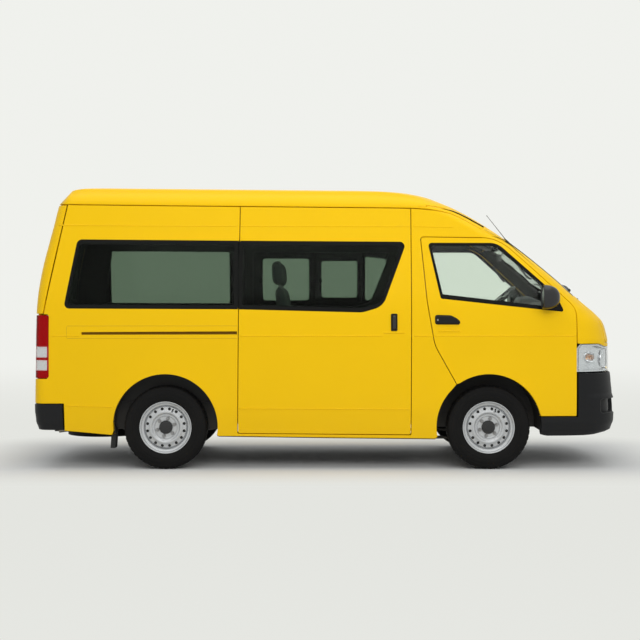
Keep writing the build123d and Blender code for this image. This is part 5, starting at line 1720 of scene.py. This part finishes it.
def padMesh(name, half, voxel=16.5, cap=17.0, power=5.0, channels=(), shrink=12.0):
    # a closed pad in its own frame: half sizes in millimetres, z up; blown up a little, then sewn
    size = np.array(half, float) - shrink
    bm = bmesh.new()
    bmesh.ops.create_cube(bm, size=2)
    bmesh.ops.subdivide_edges(bm, edges=bm.edges[:], cuts=24, use_grid_fill=True)
    p = np.array([v.co[:] for v in bm.verts])
    squeeze = (np.abs(p) ** power).sum(1) ** (-1 / power)
    p = p * squeeze[:, None] * size
    for v, c in zip(bm.verts, p):
        v.co = c * mm
    pad = linked(name, meshOf(bm, name))
    remesh = pad.modifiers.new("even", "REMESH")
    remesh.mode, remesh.voxel_size = "VOXEL", voxel * mm
    pad.data = asMade(pad)
    pad.modifiers.clear()
    start = positions(pad.data)
    swell = pad.modifiers.new("swell", "CLOTH")
    swell.settings.use_pressure = True
    swell.settings.uniform_pressure_force = clothPad["pressure"]
    swell.settings.effector_weights.gravity = 0
    swell.settings.quality = clothPad["quality"]
    swell.point_cache.frame_start, swell.point_cache.frame_end = 1, clothPad["frames"]
    for frameNumber in range(1, clothPad["frames"] + 1):
        scene.frame_set(frameNumber)
        bpy.context.view_layer.update()
    moved = positions(pad.evaluated_get(bpy.context.evaluated_depsgraph_get()).data)
    scene.frame_set(1)
    step = moved - start
    far = np.linalg.norm(step, axis=1, keepdims=True)
    step *= np.minimum(1, cap * mm / np.maximum(far, 1e-9))
    pad.modifiers.clear()
    put(pad.data, start + step)
    finer = pad.modifiers.new("finer", "SUBSURF")
    finer.levels = 1
    mesh = asMade(pad)
    bpy.data.objects.remove(pad)
    q = positions(mesh) / mm
    normals = np.zeros(len(mesh.vertices) * 3)
    mesh.vertices.foreach_get("normal", normals)
    normals = normals.reshape(-1, 3)
    groove = np.zeros(len(q))
    for axis, at, depth, width in channels:
        near = np.abs(q[:, axis] - at)
        flat = np.clip(np.abs(normals).max(1) * 2 - .6, 0, 1)
        groove = np.maximum(groove, depth * np.exp(-(near / width) ** 2) * flat)
    # the seam round the edge, a fold with its bead
    fold = np.abs(np.abs(normals[:, 2]) - .70)
    groove = np.maximum(groove, 3.2 * np.exp(-(fold / .07) ** 2)) - 1.8 * np.exp(-((fold - .16) / .05) ** 2)
    put(mesh, (q - normals * groove[:, None]) * mm)
    return mesh


def positions(mesh):
    out = np.zeros(len(mesh.vertices) * 3)
    mesh.vertices.foreach_get("co", out)
    return out.reshape(-1, 3)


def put(mesh, points):
    mesh.vertices.foreach_set("co", np.asarray(points, float).ravel())
    mesh.update()


def padPiece(name, source, where, shape=None, nodes=()):
    # a pad set in place; shape moves its points, in millimetres, before that
    mesh = source.copy()
    q = positions(mesh) / mm
    if shape:
        q = shape(q)
    put(mesh, (q + np.array(where)) * mm)
    mesh.materials.clear()
    smoothed(mesh, [seatCloth])
    piece = place(linked(name, mesh), "body", nodes, "seat_fabric")
    return piece


def boxed(bm, low, high, material=0):
    made = bmesh.ops.create_cube(bm, size=1)["verts"]
    low, high = Vector(low), Vector(high)
    for v in made:
        v.co = Vector(((low[k] + high[k]) / 2 + v.co[k] * (high[k] - low[k]) for k in range(3)))
    for f in {f for v in made for f in v.link_faces}:
        f.material_index = material


def leanBack(lean, height, waist=.10):
    # the backrest leans back as it rises, thins at the top and wraps the sitter's sides
    def shape(q):
        t = (q[:, 2] + height / 2) / height
        out = q.copy()
        hollow = 14 * np.sin(pi * np.clip(t, 0, 1)) * (1 - (q[:, 1] / 200) ** 2)
        out[:, 0] = q[:, 0] * (1 - .22 * t) - lean * t - hollow
        out[:, 1] = q[:, 1] * (1 - waist * np.clip(t - .62, 0, 1) ** 1.4 / .25)
        return out
    return shape


def bolsters(q):
    # raised sides and a rolled front edge on the cushion
    out = q.copy()
    side = np.clip((np.abs(q[:, 1]) - 130) / 60, 0, 1)
    top = np.clip(q[:, 2] / 40, 0, 1)
    out[:, 2] += top * (7 * side - 9 * (1 - side) * np.clip(1 - ((q[:, 0] + 60) / 200) ** 2, 0, 1))
    return out


# seams: axis, place, depth and width
sideSeams = [(1, -128, 5, 9), (1, 128, 5, 9)]
cushionPad = padMesh("cushionPad", (245, 235, 65), channels=sideSeams + [(0, -90, 4, 9), (0, 40, 4, 9)])
crossSeams = [(2, -110, 4, 9), (2, 40, 4, 9), (2, 170, 4, 9)]
backPad = padMesh("backPad", (55, 229, 305), channels=sideSeams + crossSeams)
headPad = padMesh("headPad", (52, 124, 103), voxel=11, cap=9, shrink=7, power=3.6, channels=[(1, 0, .01, 4)])
benchSeams = [(1, -190, 5, 11), (1, 190, 5, 11), (0, 0, 4, 11)]
benchPad = padMesh("benchPad", (256, 552, 56), voxel=20, channels=benchSeams)
print("pads ready")


frontSeat = {"x": cab - 520, "width": 500, "baseZ": 838, "cushionZ": 880, "backTop": 1600, "lean": 150,
             "headTop": 1790}
rowSeat = {"x": cab - 1615, "width": 440, "baseZ": 521, "cushionZ": 850, "backTop": 1480, "lean": 130,
           "headTop": 1673}


def wholeSeat(name, y, sizes, nodes=()):
    # cushion, back and headrest on a frame; y is the seat's middle
    x, width, baseZ, cushionZ, backTop, lean, headTop = sizes.values()
    share = width / 500
    padPiece(name + "Cushion", cushionPad, (x + 245, y, cushionZ + 64),
             lambda q: bolsters(q * (1, share, 1)), nodes)
    height = backTop - cushionZ - 52
    padPiece(name + "Back", backPad, (x + 60, y, cushionZ + 58 + height / 2),
             lambda q: leanBack(lean - 8, height)(q * np.array((.94, share, height / 622))))
    padPiece(name + "Head", headPad, (x + 10 + 46 - lean, y, headTop - 106),
             lambda q: q + np.array((-4, 0, 0)) * np.clip(q[:, 2:3] / 60, -1, 1))

    def bones(bm):
        for dy in (-52, 52):
            turnedProfile(bm, [(6, 0), (6, headTop - backTop - 90)], (x + 70 - lean, y + dy, backTop - 30),
                          (-.03, 0, 1), 14, 1)
            turnedProfile(bm, [(15, 0), (15, 9), (12, 12), (7, 12)], (x + 70 - lean, y + dy, backTop - 4),
                          (0, 0, 1), 18, 0)
        for side in (-1, 1):
            at = y + side * (width / 2 - 10)
            turnedProfile(bm, [(0, -2), (34, -2), (38, 2), (38, 8), (30, 12), (0, 13)],
                          (x + 46, at - 6 * side, cushionZ + 66), (0, side, 0), 30, 0)
            boxed(bm, (x + 40, y + side * (width / 2 - 62) - 18, baseZ + 1),
                  (x + 452, y + side * (width / 2 - 62) + 18, baseZ + 22), 1)
        rows = []
        for t in np.linspace(0, 1, 5):
            z = baseZ + 22 + (cushionZ + 20 - baseZ - 22) * t
            rows.append(roundedRing((x + 245, y, z), *level, 196 + 20 * t ** 2, width / 2 - 58 + 14 * t ** 2,
                                    6, 36))
        loftPiece(bm, rows)
        turnedProfile(bm, [(0, 0), (9, 1), (9, 60), (12, 64), (12, 96), (8, 101), (0, 102)],
                      (x + 120, y + (width / 2 - 6), cushionZ + 30), (1, 0, .1), 16, 0)
    meshPiece(name + "Frame", bones, [seatSide, bareSteel], "body", bevel=2.5)


wholeSeat("driverSeat", 430, frontSeat, ["front_seats"])
wholeSeat("frontPassengerSeat", -430, frontSeat)
for k, y in enumerate((-450, 0, 450)):
    wholeSeat("rowSeat%d" % (k + 1), y, rowSeat, ["second_row_seats"] if not k else [])
benchX = back - 420
padPiece("benchCushion", benchPad, (benchX + 258, 0, 822), nodes=["third_row_seats"])
padPiece("benchFoldedBack", benchPad, (benchX + 290, 0, 935), lambda q: q * np.array((1.03, .985, .78)))


def benchFrame(bm):
    rows = [roundedRing((benchX + 240, 0, z), *level, 178 + grow, 490 + grow, 9, 60)
            for z, grow in ((521, 0), (540, 0), (700, 0), (770, 10))]
    loftPiece(bm, rows)
    for y in (-450, -150, 150, 450):
        boxed(bm, (benchX + 62, y - 16, 521), (benchX + 418, y + 16, 540), 1)
    for y in (-290, 290):
        turnedProfile(bm, [(0, -12), (32, -12), (36, -8), (36, 8), (30, 12), (0, 12)], (benchX + 48, y, 880),
                      (0, 1, 0), 28, 0)


meshPiece("benchFrame", benchFrame, [seatSide, bareSteel], "body", bevel=2.5)
print("seats ready")


hubAt = Vector((cab + 255, 430, 1336))
columnAim = Vector((-sin(radians(42)), 0, cos(radians(42))))
wheelAcross = Vector((0, 1, 0))
wheelUp = columnAim.cross(wheelAcross)


def steeringRim(bm):
    rows, count = [], 96
    for k in range(count):
        a = 2 * pi * k / count
        out = wheelAcross * cos(a) + wheelUp * sin(a)
        grip = 12.4 + .7 * cos(24 * a)
        rows.append([bm.verts.new(hubAt + out * (187 + grip * cos(b)) + columnAim * grip * 1.05 * sin(b))
                     for b in np.linspace(0, 2 * pi, 16, endpoint=False)])
    joinRows(bm, rows + rows[:1])
    for angle in (0, 180, 270):
        a = radians(angle)
        out, side = wheelAcross * cos(a) + wheelUp * sin(a), wheelAcross * -sin(a) + wheelUp * cos(a)
        spokeRows = [roundedRing(hubAt + out * r - columnAim * drop, side, columnAim, wide, thick, 3, 20)
                     for r, wide, thick, drop in ((30, 26, 7, 4), (70, 20, 6, 5), (120, 14, 5, 3),
                                                  (160, 13, 5, 1), (180, 16, 7, 0))]
        loftPiece(bm, spokeRows)
    rows = [roundedRing(hubAt + columnAim * up, wheelAcross, wheelUp, size, size * .86, 3, 40)
            for up, size in ((-20, 40), (-8, 56), (6, 60), (13, 57), (18, 48), (20, 30), (20.5, 4))]
    loftPiece(bm, rows)
    turnedProfile(bm, [(10, -68), (10, -24), (26, -22), (38, -18)], hubAt, columnAim, 30)


meshPiece("steeringWheel", steeringRim, [glossBlack], "steering_wheel", ["steering_wheel"], "trim_plastic")


def columnShroud(bm):
    rows = [roundedRing(hubAt - columnAim * drop, wheelAcross, wheelUp, a, b, 3.2, 36)
            for drop, a, b in ((30, 44, 40), (34, 50, 46), (120, 54, 52), (190, 50, 56), (250, 46, 60))]
    loftPiece(bm, rows)
    stalk = [(5, 0), (4.5, 80), (7, 84), (8, 120), (7, 142), (0, 150)]
    for side in (1, -1):
        root = hubAt - columnAim * 52 + wheelAcross * 40 * side
        turnedProfile(bm, stalk, root, wheelAcross * side + wheelUp * .12 + columnAim * .22, 16)


meshPiece("columnShroud", columnShroud, [dashPlastic], "body", bevel=1.5)


def dashTop(bm):
    # hood over the dials, the passenger's ledge, vents and the switch panel
    rows = []
    for y, up in ((232, 0), (246, 34), (300, 50), (430, 54), (560, 50), (614, 34), (628, 0)):
        rows.append([(1700, y, 1262), (1694, y, 1290 + up * .8), (1716, y, 1318 + up), (1790, y, 1326 + up),
                     (1880, y, 1312 + up * .6), (1960, y, 1288)])
    made = [[bm.verts.new(p) for p in row] for row in rows]
    joinRows(bm, made, around=False)
    bm.faces.new(made[0])
    bm.faces.new(made[-1])


def dashDetails(bm):
    for y in (-640, -120, 110, 690):
        rows = [roundedRing((1690 - out, y, 1196), *upright, a, b, 6, 28)
                for out, a, b in ((-14, 58, 34), (8, 58, 34), (11, 55, 31), (11, 50, 26), (-2, 48, 24))]
        loftPiece(bm, rows, cap=False)
        for z in np.linspace(1178, 1214, 6):
            boxed(bm, (1684, y - 48, z - 1.5), (1694, y + 48, z + 1.5), 1)
    loftPiece(bm, [roundedRing((1688 - out, 0, 1060), *upright, a, b, 8, 28)
                   for out, a, b in ((-30, 130, 84), (4, 130, 84), (8, 126, 80))])
    for y in (-78, 0, 78):
        turnedProfile(bm, [(24, -4), (24, 2), (19, 4), (18, 18), (15, 21), (0, 21.5)], (1680, y, 1020),
                      (-1, 0, 0), 30, 1)
    boxed(bm, (1676, -92, 1064), (1684, 92, 1112), 1)
    for z in (900, 1130):
        boxed(bm, (1706, -700, z - 1.6), (1712, -200, z + 1.6), 1)


def dialFaces(bm):
    for y, r in ((380, 46), (482, 46), (312, 24), (550, 24)):
        turnedProfile(bm, [(r + 4, 0), (r + 3, 5), (r, 5), (r - 1, 1), (0, 1)], (1720, y, 1268),
                      (-1, 0, .35), 36, 0)
        turnedProfile(bm, [(2.4, 0), (1.2, r * .8), (0, r * .8)], (1714, y, 1270), (-.2, .5, .8), 8, 1)


meshPiece("dialHood", dashTop, [dashPlastic], "body", bevel=4)
meshPiece("dashVents", dashDetails, [dashPlastic, blackPlastic], "body", bevel=1)
meshPiece("dials", dialFaces, [blackPlastic, lampAmber], "body")


def gearLever(bm):
    turnedProfile(bm, [(34, 0), (30, 14), (18, 30), (11, 44), (6, 52), (5, 230), (14, 240), (20, 262),
                       (17, 284), (0, 292)], (1420, 110, 846), (-.12, 0, 1), 28)


meshPiece("gearLever", gearLever, [rubberSeal], "body")


def interiorMirror(bm):
    rows = [roundedRing((1482 + out * .97, 20 - out * .2, 1707), (.26, .965, 0), (-.12, 0, 1), a, b, 3.4, 40)
            for out, a, b in ((-12, 112, 27), (-10, 118, 31), (0, 120, 32), (12, 112, 27), (18, 80, 16),
                              (20, 30, 8))]
    loftPiece(bm, rows, cap=False)
    bm.faces.new([bm.verts.new(p) for p in rows[0]]).material_index = 1
    turnedProfile(bm, [(8, 0), (6, 20), (6, 96), (16, 110), (16, 117), (0, 117)], (1494, 18, 1708),
                  (.5, 0, .86), 18)


meshPiece("interiorMirror", interiorMirror, [dashPlastic, mirrorGlass], "body")


def pullHandle(name, a, b, out):
    def build(bm):
        a0, b0, o = Vector(a), Vector(b), Vector(out)
        side = (b0 - a0).cross(o).normalized()
        rows = []
        for t in np.linspace(0, 1, 25):
            lift = 1 - abs(2 * t - 1) ** 5
            size = 9 + 4 * (1 - lift)
            centre = a0.lerp(b0, t) + o * lift
            rows.append(roundedRing(centre, side, o.normalized(), size * .8, size, 2.6, 14))
        loftPiece(bm, rows)
    meshPiece(name, build, [dashPlastic])


postIn = [abs(sideY(x, z)) - 62 for x, z in ((1534, 1664), (1640, 1514))]
pullHandle("rightPostHandle", (1534, -postIn[0], 1664), (1640, -postIn[1], 1514), (-14, 34, -10))
pullHandle("leftPostHandle", (1534, postIn[0], 1664), (1640, postIn[1], 1514), (-14, -34, -10))


def sunVisors(bm):
    for y in (-380, 380):
        ringsOut = []
        for up, shrink in ((-9, 10), (-6, 3), (0, 0), (6, 3), (9, 10)):
            centre = Vector((1392, y, 1818)) + Vector((.41, 0, .91)) * up
            ringsOut.append(roundedRing(centre, (0, 1, 0), Vector((-.91, 0, .41)), 172 - shrink, 74 - shrink,
                                        7, 40))
        loftPiece(bm, ringsOut)


meshPiece("sunVisors", sunVisors, [headlining], "body", bevel=1)


def windowLatches(bm):
    # catches and slim frames of the far windows
    for x, z in ((-52, 1520), (566, 1540), (-600, 1520)):
        boxed(bm, (x - 9, 716, z - 26), (x + 9, 738, z + 26))
        boxed(bm, (x - 16, 704, z - 9), (x + 16, 722, z + 9))
    for x in (-100, 322):
        boxed(bm, (x - 3, 742, 1310), (x + 3, 752, 1780))


meshPiece("windowLatches", windowLatches, [blackPlastic], "body", bevel=2)


def floorCover(bm):
    # ribbed rubber along the aisle
    for k in range(34):
        y = -660 + 40 * k
        boxed(bm, (-2150, y - 9, 520.5), (700, y + 9, 523.5))


meshPiece("floorRibs", floorCover, [floorMat], "body", bevel=1)
print("inside ready")


# what stays as built
asBuilt = {
    "floor_pan": chassisBlack, "chassis_frame": chassisBlack, "engine": castMetal, "exhaust": exhaustSteel,
    "fuel_tank": blackPlastic, "spare_wheel": tyreRubber, "front_suspension": castMetal,
    "rear_axle": castMetal, "left_knuckle": castMetal, "right_knuckle": castMetal,
    "track_rod": bareSteel, "dashboard": dashPlastic,
}
for name, material in asBuilt.items():
    dressNode(name, material)
print("dressed")

bpy.context.view_layer.update()
